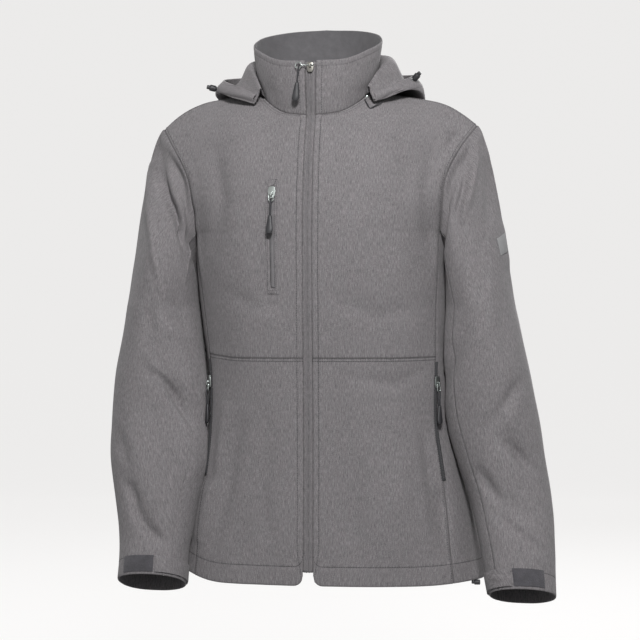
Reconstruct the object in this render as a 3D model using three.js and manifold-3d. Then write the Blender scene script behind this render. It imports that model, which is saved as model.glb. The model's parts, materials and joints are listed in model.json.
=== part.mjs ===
// A hooded softshell jacket, filled out as if worn, in millimetres.
// +Z is up, -Y is the front, +X is the wearer's left. The origin is the middle of the neck opening,
// where the shoulders of a wearer carry the garment.
// Every cloth piece is a thin wall cut along its real seams from one continuous surface: rows that run
// round the trunk from centre front to centre back, rings down each sleeve, and stations round the neck
// for the collar and the hood. The hard pieces are seated on that surface.
import * as THREE from "three";
import { mergeVertices } from "three/addons/utils/BufferGeometryUtils.js";
import Module from "manifold-3d";

const wasm = await Module();
wasm.setup();

// Cloth thicknesses and clearances.
const SHELL_WALL = 2.0;
const FACING_WALL = 1.2;
const SEAM_INSET = 0.18;
const LAID_ON = 0.35;

// Heights of the main levels.
const HEM_Z = -686;
const HEM_RISE = { right: 14, left: 4 };
const POCKET_SEAM_Z = -372;
const UNDERARM_ROW_Z = -195;
const UNDERARM_DIP = 38;
const FRONT_NECK_Z = -33;
const BACK_NECK_Z = 32.5;

// The front opening, and the zip that closes it.
const OPENING_HALF = 7.5;
const HEM_CORNER_RADIUS = 13;
const ZIP_BOTTOM_Z = -668;
const TAPE_HALF = 13;
const TAPE_DROOP = 2;
const TAPE_DROOP_FROM_Z = -140;
const TAPE_DROOP_FULL_Z = -45;

// Sections of the zips: distance across and height above the cloth's outer face.
const MAIN_ZIP_SECTION = [
  { side: -TAPE_HALF, high: -3.5 },
  { side: TAPE_HALF, high: -3.5 },
  { side: TAPE_HALF, high: -2.5 },
  { side: 7, high: -2.5 },
  { side: 6.7, high: -1.2 },
  { side: 3, high: -1.2 },
  { side: 2.2, high: 0.2 },
  { side: -2.2, high: 0.2 },
  { side: -3, high: -1.2 },
  { side: -6.7, high: -1.2 },
  { side: -7, high: -2.5 },
  { side: -TAPE_HALF, high: -2.5 },
];
const POCKET_ZIP_SECTION = [
  { side: -3, high: 0.5 },
  { side: 3, high: 0.5 },
  { side: 3, high: 1.1 },
  { side: 1.6, high: 1.9 },
  { side: -1.6, high: 1.9 },
  { side: -3, high: 1.1 },
];

// The hand pockets' zips, and how far the parts of every zip stand out.
const POCKET_ZIP = { top: -379, bottom: -545, steps: 8 };
const MAIN_SLIDER = { width: 10, length: 14, base: 0.5, thick: 2.2, eye: 2.5 };
const POCKET_SLIDER = { width: 11, length: 17, base: 2.2, thick: 2, eye: -3 };
const MAIN_SLIDER_Z = 33.5;
const CHEST_SLIDER_Z = -143;
const POCKET_SLIDER_Z = -406;
const EYE = { half: 1.4, floor: 0.6, tall: 2.1, rise: 3.8, width: 2.2, foot: 3.6 };
const WIRE = { radius: 0.75 };
const LINK = { half: 3.1, length: 10 };
const SIDE_LINK = { reach: 16, past: 4, head: 1.1, ring: 4.2, lean: 5 };
const CORD = { radius: 0.95, half: 2.05, close: 1.2, length: 20 };
const GRIP = [
  { at: 0, half: 2.6, thick: 2.4 },
  { at: 4, half: 3.4, thick: 2.3 },
  { at: 12, half: 4.4, thick: 2.3 },
  { at: 19, half: 5.4, thick: 2.5 },
  { at: 23, half: 5, thick: 2.3 },
  { at: 26, half: 2.6, thick: 1.6 },
];

// The cuffs' fastening, as angles round the wrist from its outer side towards the front.
const CUFF = { rise: 3, tall: 22, patchFrom: 50, patchTo: 101, tabFrom: 104, tabTo: 250 };
const PATCH_WALL = 1;
const TAB_WALL = 1.8;
const TAB_LIFT = 0.4;

// The hood's cord: an eyelet and a lock at each outer end of its rim.
const HOOD_LOCK = { turn: 93.4, right: 0.78, left: 0.91, reach: 9.5 };
const LOCK = { radius: 4.6, length: 14 };
const EYELET = { hole: 2, outer: 4.2, high: 0.9 };
const HOOD_CORD_RADIUS = 1.2;
const HOOD_CORD = [0, 0.6, 1.2, 1.8].map((y) => new THREE.Vector3(0, y, 0));

// The lock under the hem, and the woven tab on the sleeve.
const HEM_LOCK = { radius: 3.8, length: 12, across: 0.25 };
const LABEL_TAB = { from: 4, to: 27, top: 0.2, bottom: 0.235, thick: 0.8 };
const SLEEVE_RUN = 600;

// The chest pocket: its zip's place, and the stitched frame round it.
const CHEST_ZIP = { x: 50.5, top: -127, bottom: -275, slot: 7.4, short: 1.2, steps: 7 };
const WELT = { width: 17, end: 9 };
const WELT_WALL = 1;

// Trunk sections: how far the cloth stands from the centre line to each side, to the front and to the back.
const TRUNK = [
  { z: -700, right: 211, left: 246, front: 121, back: 118 },
  { z: -638, right: 196, left: 232, front: 120, back: 114 },
  { z: -580, right: 182, left: 220, front: 119, back: 109 },
  { z: -522, right: 169, left: 205, front: 118, back: 104 },
  { z: -464, right: 161, left: 191, front: 119, back: 101 },
  { z: -390, right: 161, left: 187, front: 122, back: 101 },
  { z: -330, right: 168, left: 186, front: 126, back: 106 },
  { z: -250, right: 176, left: 185, front: 130, back: 114 },
  { z: -195, right: 178, left: 184, front: 130, back: 119 },
  { z: -150, right: 178, left: 184, front: 127, back: 118 },
  { z: -100, right: 178, left: 184, front: 118, back: 112 },
  { z: -60, right: 178, left: 184, front: 105, back: 101 },
  { z: -33, right: 178, left: 184, front: 92, back: 91 },
  { z: 0, right: 178, left: 184, front: 92, back: 77 },
  { z: 32.5, right: 178, left: 184, front: 92, back: 64 },
];
const SQUARENESS = 2.4;

// Where the side panel's two seams run, as a share of the quarter turn from centre front to side.
const PANEL_SEAMS = [
  { z: -700, front: 0.57, back: 1.32 },
  { z: -530, front: 0.66, back: 1.3 },
  { z: -375, front: 0.73, back: 1.27 },
  { z: -195, front: 0.8, back: 1.22 },
];

// The armhole, from the side panel's seam (rise 0) to the shoulder tip (rise 1).
const ARMHOLE_FRONT = [
  { rise: 0.25, x: 181, y: -62, z: -152 },
  { rise: 0.5, x: 189, y: -61, z: -112 },
  { rise: 0.76, x: 207, y: -43, z: -74 },
  { rise: 1, x: 228, y: -8, z: -41 },
];
const ARMHOLE_BACK = [
  { rise: 0.25, x: 184, y: 68, z: -150 },
  { rise: 0.5, x: 196, y: 68, z: -108 },
  { rise: 0.76, x: 214, y: 42, z: -68 },
  { rise: 1, x: 228, y: -8, z: -41 },
];
const SHOULDER_ARCH = { right: 17, left: 11 };
// The wearer's right armhole is cut in closer to the body below the shoulder tip.
const RIGHT_ARMHOLE_NARROWER = 6;
const ARMHOLE_CLEARANCE = 4;

// The neck seam and the top edge of the collar, by the angle turned from centre front.
const NECK_CENTRE_Y = -14;
const NECK_HALF_WIDTH = 80;
const NECK_HALF_DEPTH = 78;
const COLLAR_BELLY = 2.5;
const SHOULDER_TURN = 98;
const NECK_TURNS = [
  { turn: 0, seam: -33, top: 42, topWidth: 95, topDepth: 83 },
  { turn: 30, seam: -27, top: 46, topWidth: 95, topDepth: 83 },
  { turn: 60, seam: -6, top: 64, topWidth: 95, topDepth: 83 },
  { turn: 90, seam: 15, top: 81, topWidth: 95, topDepth: 83 },
  { turn: 120, seam: 26, top: 97, topWidth: 95, topDepth: 83 },
  { turn: 150, seam: 31, top: 108, topWidth: 95, topDepth: 84 },
  { turn: 180, seam: 32.5, top: 112, topWidth: 95, topDepth: 85 },
];

// The hood, hanging open behind the neck: radius from the neck's middle and height of each of its
// lines, by the angle turned from centre front. It rises beside the collar to a crest, falls into its
// pouch, turns at the fold and comes back up outside to the rim of the face opening.
const HOOD_STATIONS = [
  {
    turn: 61, crestR: 88, crestZ: 9, valleyR: 90, valleyZ: 0,
    foldR: 97, foldZ: -11, bellyR: 99, bellyZ: -4, rimR: 95, rimZ: 2,
  },
  {
    turn: 76, crestR: 93, crestZ: 34, valleyR: 100, valleyZ: 14,
    foldR: 120, foldZ: 1, bellyR: 123, bellyZ: 7, rimR: 115, rimZ: 14,
  },
  {
    turn: 94, crestR: 101, crestZ: 50, valleyR: 119, valleyZ: 24,
    foldR: 150, foldZ: 10, bellyR: 152, bellyZ: 20, rimR: 141, rimZ: 30,
  },
  {
    turn: 114, crestR: 102, crestZ: 62, valleyR: 123, valleyZ: 29,
    foldR: 163, foldZ: -14, bellyR: 166, bellyZ: 12, rimR: 152, rimZ: 40,
  },
  {
    turn: 136, crestR: 98, crestZ: 72, valleyR: 131, valleyZ: 10,
    foldR: 172, foldZ: -112, bellyR: 184, bellyZ: -36, rimR: 153, rimZ: 47,
  },
  {
    turn: 158, crestR: 94, crestZ: 78, valleyR: 120, valleyZ: 6,
    foldR: 160, foldZ: -182, bellyR: 182, bellyZ: -76, rimR: 149, rimZ: 52,
  },
  {
    turn: 180, crestR: 93, crestZ: 80, valleyR: 117, valleyZ: 4,
    foldR: 152, foldZ: -198, bellyR: 175, bellyZ: -88, rimR: 147, rimZ: 54,
  },
];
const HOOD_LINES = ["crest", "valley", "fold", "belly", "rim"];
// The hood is sewn on just above the collar's foot, a share of the way up the collar.
const HOOD_SEAM_UP = 0.06;
const HOOD_SEAM_FADE = 0.2;
const HOOD_LEFT_SLACK = 9;
const HOOD_FRONT_TURN = 61;
const HOOD_WALL = 2;

// Sleeve rings: centre, half widths across and front to back, and how far the ring's front is tipped up.
const SLEEVE_RIGHT = [
  { z: -300, x: -228, y: -6, across: 55, deep: 79, tip: 0 },
  { z: -348, x: -226, y: -14, across: 63, deep: 74, tip: 0 },
  { z: -406, x: -223, y: -24, across: 73, deep: 68, tip: 3 },
  { z: -464, x: -223, y: -36, across: 74, deep: 62, tip: 9 },
  { z: -522, x: -222, y: -54, across: 73, deep: 57, tip: 15 },
  { z: -580, x: -225, y: -70, across: 59, deep: 52, tip: 20 },
  { z: -638, x: -225, y: -86, across: 50, deep: 47, tip: 23 },
  { z: -688, x: -225, y: -103, across: 49, deep: 43, tip: 24 },
];
const SLEEVE_LEFT = [
  { z: -300, x: 232, y: -6, across: 52, deep: 79, tip: 0 },
  { z: -348, x: 235, y: -14, across: 59, deep: 74, tip: 0 },
  { z: -406, x: 242, y: -20, across: 64, deep: 68, tip: 3 },
  { z: -464, x: 250, y: -26, across: 67, deep: 62, tip: 9 },
  { z: -522, x: 263, y: -34, across: 63, deep: 57, tip: 15 },
  { z: -580, x: 277, y: -46, across: 57, deep: 52, tip: 20 },
  { z: -638, x: 286, y: -74, across: 51, deep: 47, tip: 23 },
  { z: -697, x: 294, y: -98, across: 46, deep: 43, tip: 22 },
];
const SLEEVE_HEAD_FULLNESS = { right: 12, left: 9 };
const SLEEVE_HEAD_SHARE = 0.34;
const SLEEVE_HEAD_GIRTH = 65;
const SLEEVE_ROUNDNESS = 0.92;
// Shares of the armhole's round: tip to front seam, then the underarm, then back to the tip.
const ARMHOLE_FRONT_SHARE = 0.4;
const ARMHOLE_BACK_SHARE = 0.6;
const FRONT_SEAM_ANGLE = 133;
const BACK_SEAM_ANGLE = 223;

// Folds on the sleeves: angle round from the outer side towards the front, and height, of both ends.
// A negative depth is a trough and a positive one a ridge.
const SLEEVE_FOLDS = [
  { side: -1, angle: 39, z: -97, toAngle: 150, toZ: -200, depth: -7, width: 13 },
  { side: -1, angle: 85, z: -150, toAngle: 160, toZ: -235, depth: -6, width: 11 },
  { side: -1, angle: 22, z: -110, toAngle: 84, toZ: -290, depth: 5, width: 16 },
  { side: -1, angle: 84, z: -385, toAngle: 150, toZ: -475, depth: -6, width: 12 },
  { side: -1, angle: 45, z: -545, toAngle: 100, toZ: -635, depth: -4, width: 11 },
  { side: -1, angle: 230, z: -330, toAngle: 300, toZ: -440, depth: -6, width: 15 },
  { side: -1, angle: 250, z: -180, toAngle: 320, toZ: -260, depth: -5, width: 16 },
  { side: -1, angle: 240, z: -470, toAngle: 310, toZ: -540, depth: -4, width: 14 },
  { side: 1, angle: 70, z: -80, toAngle: 116, toZ: -190, depth: 5, width: 13 },
  { side: 1, angle: 30, z: -110, toAngle: 80, toZ: -300, depth: -5, width: 15 },
  { side: 1, angle: 110, z: -120, toAngle: 150, toZ: -220, depth: -6, width: 12 },
  { side: 1, angle: 98, z: -319, toAngle: 165, toZ: -425, depth: -6, width: 12 },
  { side: 1, angle: 50, z: -545, toAngle: 95, toZ: -480, depth: -5, width: 13 },
  { side: 1, angle: 60, z: -620, toAngle: 110, toZ: -575, depth: -4, width: 12 },
  { side: 1, angle: 230, z: -350, toAngle: 300, toZ: -455, depth: -6, width: 15 },
  { side: 1, angle: 245, z: -190, toAngle: 315, toZ: -275, depth: -5, width: 16 },
];

// Folds on the trunk, as lines seen from the front (face -1) or from behind (face 1).
const TRUNK_FOLDS = [
  { face: -1, x: 168, z: -75, toX: 120, toZ: -150, depth: -5, width: 20 },
  { face: -1, x: -150, z: -80, toX: -125, toZ: -170, depth: -3, width: 20 },
  { face: -1, x: -135, z: -420, toX: -165, toZ: -640, depth: 4, width: 16 },
  { face: -1, x: 150, z: -470, toX: 185, toZ: -640, depth: -5, width: 15 },
  { face: -1, x: 120, z: -430, toX: 135, toZ: -620, depth: 4, width: 20 },
  { face: -1, x: 45, z: -450, toX: 60, toZ: -640, depth: -3, width: 18 },
  { face: 1, x: -60, z: -420, toX: -85, toZ: -660, depth: -5, width: 20 },
  { face: 1, x: 75, z: -430, toX: 110, toZ: -660, depth: -5, width: 20 },
  { face: 1, x: 10, z: -300, toX: 20, toZ: -560, depth: 4, width: 24 },
  { face: 1, x: 150, z: -120, toX: 90, toZ: -260, depth: -4, width: 20 },
  { face: 1, x: -150, z: -120, toX: -90, toZ: -260, depth: -4, width: 20 },
];

// How finely each piece is sampled.
const LOWER_ROWS = 9;
const MIDDLE_ROWS = 5;
const CHEST_ROWS = 11;
const CHEST_CORNER_ROW = 6;
const BACK_CORNER_ROW = 8;
const SIDE_COLUMNS = 5;
const PANEL_COLUMNS = [0, 0.035, 0.09, 0.23, 0.38, 0.53, 0.69, 0.85, 1];
const SLEEVE_HEAD_RINGS = 7;
const SLEEVE_RINGS = 12;
const COLLAR_ROWS = 4;
const HOOD_ROWS = 10;
const MAIN_ZIP_STEPS = 16;

// Colours of the finishes.
const SHELL_COLOUR = "#6f6d70";
const FACING_COLOUR = "#55545a";
const TAPE_COLOUR = "#67646a";
const LOOP_COLOUR = "#4a4853";
const METAL_COLOUR = "#9aa3a3";
const RUBBER_COLOUR = "#2b2c31";
const CORD_COLOUR = "#4c4d54";
const LABEL_COLOUR = "#a9a9a9";

const degrees = THREE.MathUtils.degToRad;
const lerp = THREE.MathUtils.lerp;
const clamp = THREE.MathUtils.clamp;
const smooth = (low, high, value) => THREE.MathUtils.smoothstep(value, low, high);
const sideName = (side) => (side < 0 ? "right" : "left");
const range = (count) => [...Array(count + 1).keys()];
const vector = (x, y, z) => new THREE.Vector3(x, y, z);

// A column of a table at any place between its rows, along a smooth curve through them.
function column(table, by, name, at) {
  const last = table.length - 1;
  let i = 0;
  while (i < last - 1 && at > table[i + 1][by]) i++;
  const a = table[i];
  const b = table[i + 1];
  const before = table[Math.max(i - 1, 0)];
  const after = table[Math.min(i + 2, last)];
  const span = b[by] - a[by];
  const t = clamp((at - a[by]) / span, 0, 1);
  const slope = (p, q) => ((q[name] - p[name]) / (q[by] - p[by])) * span;
  const m0 = slope(before, b);
  const m1 = slope(a, after);
  const t2 = t * t;
  const t3 = t2 * t;
  return (
    (2 * t3 - 3 * t2 + 1) * a[name] +
    (t3 - 2 * t2 + t) * m0 +
    (3 * t2 - 2 * t3) * b[name] +
    (t3 - t2) * m1
  );
}

// The signed power that a superellipse needs.
const power = (value, exponent) => Math.sign(value) * Math.abs(value) ** exponent;

// A point of the trunk's section at a height: turn 0 is centre front, 1 the side and 2 centre back.
function section(side, turn, z) {
  const angle = degrees(turn * 90);
  const width = column(TRUNK, "z", side < 0 ? "right" : "left", z);
  const depth = column(TRUNK, "z", turn <= 1 ? "front" : "back", z);
  return vector(
    side * width * power(Math.sin(angle), 2 / SQUARENESS),
    -depth * power(Math.cos(angle), 2 / SQUARENESS),
    z,
  );
}

// The hem is a little higher at the sides, and most at the wearer's right.
const hemZ = (side, turn) => HEM_Z + HEM_RISE[sideName(side)] * smooth(0.35, 0.8, Math.min(turn, 2 - turn));

// How much a fold line lifts the cloth at a distance from it.
function foldLift(fold, u, v, u0, v0, u1, v1) {
  const du = u1 - u0;
  const dv = v1 - v0;
  const along = clamp(((u - u0) * du + (v - v0) * dv) / (du * du + dv * dv), 0, 1);
  const away = Math.hypot(u - u0 - along * du, v - v0 - along * dv);
  return fold.depth * Math.exp(-((away / fold.width) ** 2)) * (0.35 + 0.65 * Math.sin(Math.PI * along));
}

// Moves a point of the trunk in or out along its folds.
function foldTrunk(point) {
  let lift = 0;
  for (const f of TRUNK_FOLDS) {
    const facing = smooth(8, 55, f.face * point.y);
    lift += facing * foldLift(f, point.x, point.z, f.x, f.z, f.toX, f.toZ);
  }
  const fade = smooth(0, 45, Math.abs(point.x) - OPENING_HALF);
  const out = vector(point.x / 190 ** 2, point.y / 120 ** 2, 0).normalize();
  return point.addScaledVector(out, lift * (point.y < 0 ? fade : 1));
}

// The neck seam and the collar's top edge; the turn is in degrees from centre front, signed by side.
function neckSeam(turn) {
  const a = degrees(turn);
  return vector(
    NECK_HALF_WIDTH * Math.sin(a),
    NECK_CENTRE_Y - NECK_HALF_DEPTH * Math.cos(a),
    column(NECK_TURNS, "turn", "seam", Math.abs(turn)),
  );
}
function collarTop(turn) {
  const a = degrees(turn);
  const size = (name) => column(NECK_TURNS, "turn", name, Math.abs(turn));
  return vector(size("topWidth") * Math.sin(a), NECK_CENTRE_Y - size("topDepth") * Math.cos(a), size("top"));
}
const turnAtWidth = (x) => THREE.MathUtils.radToDeg(Math.asin(x / NECK_HALF_WIDTH));
const FRONT_TURN = turnAtWidth(OPENING_HALF);
const FACING_TURN = turnAtWidth(TAPE_HALF + 1);

// The armhole's front or back edge above the side panel, from the panel's seam up to the shoulder tip.
function armholeEdge(side, table, rise) {
  const front = table === ARMHOLE_FRONT;
  const seam = column(PANEL_SEAMS, "z", front ? "front" : "back", UNDERARM_ROW_Z);
  const foot = section(side, seam, UNDERARM_ROW_Z);
  const rows = [{ rise: 0, x: Math.abs(foot.x), y: foot.y, z: foot.z }, ...table];
  const narrower = side < 0 ? RIGHT_ARMHOLE_NARROWER * (1 - smooth(0.3, 1, rise)) : 0;
  const x = column(rows, "rise", "x", rise) - (rise > 0 ? narrower * smooth(0, 0.2, rise) : 0);
  return vector(side * x, column(rows, "rise", "y", rise), column(rows, "rise", "z", rise));
}

// A row of cloth between the opening (or the neck) and the armhole, full over the chest and straight
// along the shoulder.
function yokeRow(side, table, along, rise, start, turnAt) {
  const end = armholeEdge(side, table, rise);
  const foot = (s) => section(side, turnAt(s), UNDERARM_ROW_Z);
  const a = foot(0);
  const b = foot(1);
  const p = foot(along);
  const fullX = (p.x - a.x) / (b.x - a.x);
  const fullY = (p.y - a.y) / (b.y - a.y);
  const straight = rise ** 1.6;
  const shareX = lerp(fullX, along, straight);
  const shareY = lerp(fullY, along, straight);
  const arch = SHOULDER_ARCH[sideName(side)] * Math.sin(Math.PI * along ** 1.9) * rise ** 2;
  return vector(
    lerp(start.x, end.x, shareX),
    lerp(start.y, end.y, shareY),
    lerp(start.z, end.z, lerp(shareX, along, 0.5)) + arch,
  );
}

// The front: across 0 is the opening and 1 the panel seam or armhole; level 0 is the hem, 1 the foot of
// the armhole and 2 the shoulder.
const CHEST_CORNER = CHEST_CORNER_ROW / CHEST_ROWS;
const openingTurn = (side, z) => {
  const width = column(TRUNK, "z", side < 0 ? "right" : "left", z);
  return Math.asin((OPENING_HALF / width) ** (SQUARENESS / 2)) / degrees(90);
};
function frontPoint(side, across, level) {
  if (level <= 1) {
    const row = lerp(HEM_Z, UNDERARM_ROW_Z, level);
    const turn = lerp(openingTurn(side, row), column(PANEL_SEAMS, "z", "front", row), across);
    const bottom = hemZ(side, turn);
    const point = section(side, turn, lerp(bottom, UNDERARM_ROW_Z, level));
    const inside = HEM_CORNER_RADIUS - (Math.abs(point.x) - OPENING_HALF);
    if (inside > 0) {
      const lift = HEM_CORNER_RADIUS - Math.sqrt(Math.max(HEM_CORNER_RADIUS ** 2 - inside ** 2, 0));
      point.z += lift * (1 - smooth(0, 0.12, level));
    }
    return foldTrunk(point);
  }
  const rise = level - 1;
  const z = lerp(UNDERARM_ROW_Z, FRONT_NECK_Z, Math.min(rise / CHEST_CORNER, 1));
  const start =
    rise <= CHEST_CORNER
      ? section(side, openingTurn(side, z), z)
      : neckSeam(side * lerp(FRONT_TURN, SHOULDER_TURN, (rise - CHEST_CORNER) / (1 - CHEST_CORNER)));
  const turnAt = (s) =>
    lerp(openingTurn(side, UNDERARM_ROW_Z), column(PANEL_SEAMS, "z", "front", UNDERARM_ROW_Z), s);
  return foldTrunk(yokeRow(side, ARMHOLE_FRONT, across, rise, start, turnAt));
}

// The back: across 0 is centre back and 1 the panel seam or armhole.
const BACK_CORNER = BACK_CORNER_ROW / CHEST_ROWS;
function backPoint(side, across, level) {
  if (level <= 1) {
    const row = lerp(HEM_Z, UNDERARM_ROW_Z, level);
    const turn = lerp(2, column(PANEL_SEAMS, "z", "back", row), across);
    return foldTrunk(section(side, turn, lerp(hemZ(side, turn), UNDERARM_ROW_Z, level)));
  }
  const rise = level - 1;
  const z = lerp(UNDERARM_ROW_Z, BACK_NECK_Z, Math.min(rise / BACK_CORNER, 1));
  const start =
    rise <= BACK_CORNER
      ? section(side, 2, z)
      : neckSeam(side * lerp(180, SHOULDER_TURN, (rise - BACK_CORNER) / (1 - BACK_CORNER)));
  const turnAt = (s) => lerp(2, column(PANEL_SEAMS, "z", "back", UNDERARM_ROW_Z), s);
  return foldTrunk(yokeRow(side, ARMHOLE_BACK, across, rise, start, turnAt));
}

// The side panel: across 0 is the front seam and 1 the back seam; level 1 is the underarm.
function sidePoint(side, across, level) {
  const row = lerp(HEM_Z, UNDERARM_ROW_Z, level);
  const seam = (name) => column(PANEL_SEAMS, "z", name, row);
  const turn = lerp(seam("front"), seam("back"), across);
  const top = UNDERARM_ROW_Z - UNDERARM_DIP * Math.sin(Math.PI * across) ** 1.3;
  return foldTrunk(section(side, turn, lerp(hemZ(side, turn), top, level)));
}

// The armhole as one closed round: from the shoulder tip down the front, under the arm and up the back.
function armhole(side, round) {
  if (round <= ARMHOLE_FRONT_SHARE) return frontPoint(side, 1, 2 - round / ARMHOLE_FRONT_SHARE);
  if (round < ARMHOLE_BACK_SHARE) {
    const share = (round - ARMHOLE_FRONT_SHARE) / (ARMHOLE_BACK_SHARE - ARMHOLE_FRONT_SHARE);
    return sidePoint(side, share, 1);
  }
  return backPoint(side, 1, 1 + (round - ARMHOLE_BACK_SHARE) / (1 - ARMHOLE_BACK_SHARE));
}

// The share of the armhole's round that belongs to an angle round a sleeve's section.
function roundOf(angle) {
  const part = (from, to, low, high) => lerp(low, high, (angle - from) / (to - from));
  if (angle <= FRONT_SEAM_ANGLE) return part(0, FRONT_SEAM_ANGLE, 0, ARMHOLE_FRONT_SHARE);
  if (angle < BACK_SEAM_ANGLE) {
    return part(FRONT_SEAM_ANGLE, BACK_SEAM_ANGLE, ARMHOLE_FRONT_SHARE, ARMHOLE_BACK_SHARE);
  }
  return part(BACK_SEAM_ANGLE, 360, ARMHOLE_BACK_SHARE, 1);
}

// The angle round a sleeve's section that belongs to a share of the armhole's round.
function sleeveAngle(round) {
  if (round <= ARMHOLE_FRONT_SHARE) return (FRONT_SEAM_ANGLE * round) / ARMHOLE_FRONT_SHARE;
  if (round < ARMHOLE_BACK_SHARE) {
    const share = (round - ARMHOLE_FRONT_SHARE) / (ARMHOLE_BACK_SHARE - ARMHOLE_FRONT_SHARE);
    return lerp(FRONT_SEAM_ANGLE, BACK_SEAM_ANGLE, share);
  }
  return lerp(BACK_SEAM_ANGLE, 360, (round - ARMHOLE_BACK_SHARE) / (1 - ARMHOLE_BACK_SHARE));
}

// Keeps a sleeve's point clear of the trunk beside it, as the cloth flattens where the arm hangs close.
function clearOfTrunk(side, point, clearance) {
  const z = Math.min(point.z, UNDERARM_ROW_Z);
  const width = column(TRUNK, "z", side < 0 ? "right" : "left", z) + clearance;
  const depth = column(TRUNK, "z", point.y < 0 ? "front" : "back", z) + clearance;
  const away = Math.abs(point.x / width) ** SQUARENESS + Math.abs(point.y / depth) ** SQUARENESS;
  if (away >= 1) return point;
  const shareY = Math.min(Math.abs(point.y / depth), 0.999);
  point.x = side * width * (1 - shareY ** SQUARENESS) ** (1 / SQUARENESS);
  return point;
}

// A point of a sleeve's ring at a height, with its folds.
function sleeveRing(side, angle, ringZ) {
  const table = [...(side < 0 ? SLEEVE_RIGHT : SLEEVE_LEFT)].reverse();
  const size = (name) => column(table, "z", name, ringZ);
  const tip = degrees(size("tip"));
  const a = degrees(angle);
  let lift = 0;
  const scale = (degrees(1) * (size("across") + size("deep"))) / 2;
  for (const f of SLEEVE_FOLDS) {
    if (f.side !== side) continue;
    lift += foldLift(f, angle * scale, ringZ, f.angle * scale, f.z, f.toAngle * scale, f.toZ);
  }
  const across = power(Math.cos(a), SLEEVE_ROUNDNESS) * (size("across") + lift);
  const deep = power(Math.sin(a), SLEEVE_ROUNDNESS) * (size("deep") + lift);
  const point = vector(
    size("x") + side * across,
    size("y") - deep * Math.cos(tip),
    ringZ + deep * Math.sin(tip),
  );
  return clearOfTrunk(side, point, ARMHOLE_CLEARANCE);
}

// A sleeve: round 0..1 from the shoulder tip by the front, along 0..1 from armhole to cuff.
function sleevePoint(side, round, along) {
  const angle = sleeveAngle(round);
  const table = side < 0 ? SLEEVE_RIGHT : SLEEVE_LEFT;
  const first = table[0].z;
  const last = table[table.length - 1].z;
  if (along >= SLEEVE_HEAD_SHARE) {
    const share = (along - SLEEVE_HEAD_SHARE) / (1 - SLEEVE_HEAD_SHARE);
    return sleeveRing(side, angle, lerp(first, last, share));
  }
  const blend = along / SLEEVE_HEAD_SHARE;
  const seam = armhole(side, round % 1);
  const ring = sleeveRing(side, angle, first);
  const point = seam.clone().lerp(ring, blend);
  const outward = Math.max(Math.cos(degrees(angle)), 0) ** 0.7;
  const forward = Math.sin(degrees(angle));
  const fullness = SLEEVE_HEAD_FULLNESS[sideName(side)];
  point.x += side * fullness * outward * Math.sin(Math.PI * blend ** 0.6);
  point.y -= fullness * 0.5 * forward * Math.sin(Math.PI * blend);
  let lift = 0;
  const scale = degrees(1) * SLEEVE_HEAD_GIRTH;
  for (const f of SLEEVE_FOLDS) {
    if (f.side !== side) continue;
    lift += foldLift(f, angle * scale, point.z, f.angle * scale, f.z, f.toAngle * scale, f.toZ);
  }
  // The folds start at the armhole from nothing, and hand over to the rings' own folds at the end.
  lift *= smooth(0, 0.6, blend) * (1 - smooth(0.75, 1, blend));
  point.x += side * Math.cos(degrees(angle)) * lift;
  point.y -= Math.sin(degrees(angle)) * lift;
  return blend > 0 ? clearOfTrunk(side, point, ARMHOLE_CLEARANCE * smooth(0, 0.3, blend)) : point;
}

// The collar between the neck seam and its top edge.
function collarPoint(turn, up) {
  const point = neckSeam(turn).lerp(collarTop(turn), up);
  const belly = COLLAR_BELLY * Math.sin(Math.PI * up);
  const a = degrees(turn);
  return point.add(vector(belly * Math.sin(a), -belly * Math.cos(a), 0));
}

// The hood's neck seam, which lies against the collar's flat facets.
function hoodSeam(turn) {
  const side = turn < 0 ? -1 : 1;
  const facet = onPanel((t, up) => collarPoint(side * t, up), neckTurns(1), share(COLLAR_ROWS), side < 0);
  const out = vector(Math.sin(degrees(turn)), -Math.cos(degrees(turn)), 0);
  return facet(Math.abs(turn), HOOD_SEAM_UP).addScaledVector(out, HOOD_WALL + LAID_ON);
}

// The hood: across 0 is its neck seam and 1 the rim of the face opening.
function hoodPoint(turn, across) {
  const a = degrees(turn);
  const slack = turn > 0 ? HOOD_LEFT_SLACK * smooth(66, 90, turn) * (1 - smooth(100, 130, turn)) : 0;
  const seam = hoodSeam(turn);
  const seamRadius = Math.hypot(seam.x, seam.y - NECK_CENTRE_Y);
  const outer = HOOD_LINES.map((line, i) => ({
    at: (i + 1) / HOOD_LINES.length,
    radius: column(HOOD_STATIONS, "turn", line + "R", Math.abs(turn)),
    z: column(HOOD_STATIONS, "turn", line + "Z", Math.abs(turn)),
  }));
  const lines = [{ at: 0, radius: seamRadius, z: seam.z }, ...outer];
  const radius = column(lines, "at", "radius", across) - slack * smooth(0.3, 0.7, across);
  const polar = (r, z) => vector(r * Math.sin(a), NECK_CENTRE_Y - r * Math.cos(a), z);
  const toSeam = seam.sub(polar(seamRadius, seam.z));
  const point = polar(radius, column(lines, "at", "z", across));
  return point.addScaledVector(toSeam, 1 - smooth(0, HOOD_SEAM_FADE, across));
}

// A grid of quads over a surface; flip turns its outside round.
function grid(surface, us, vs, flip = false) {
  const quads = [];
  for (let i = 0; i + 1 < us.length; i++) {
    for (let j = 0; j + 1 < vs.length; j++) {
      const q = [
        surface(us[i], vs[j]),
        surface(us[i + 1], vs[j]),
        surface(us[i + 1], vs[j + 1]),
        surface(us[i], vs[j + 1]),
      ];
      quads.push(flip ? q.reverse() : q);
    }
  }
  return quads;
}

const keyOf = (p) => `${Math.round(p.x * 50)},${Math.round(p.y * 50)},${Math.round(p.z * 50)}`;

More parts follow.
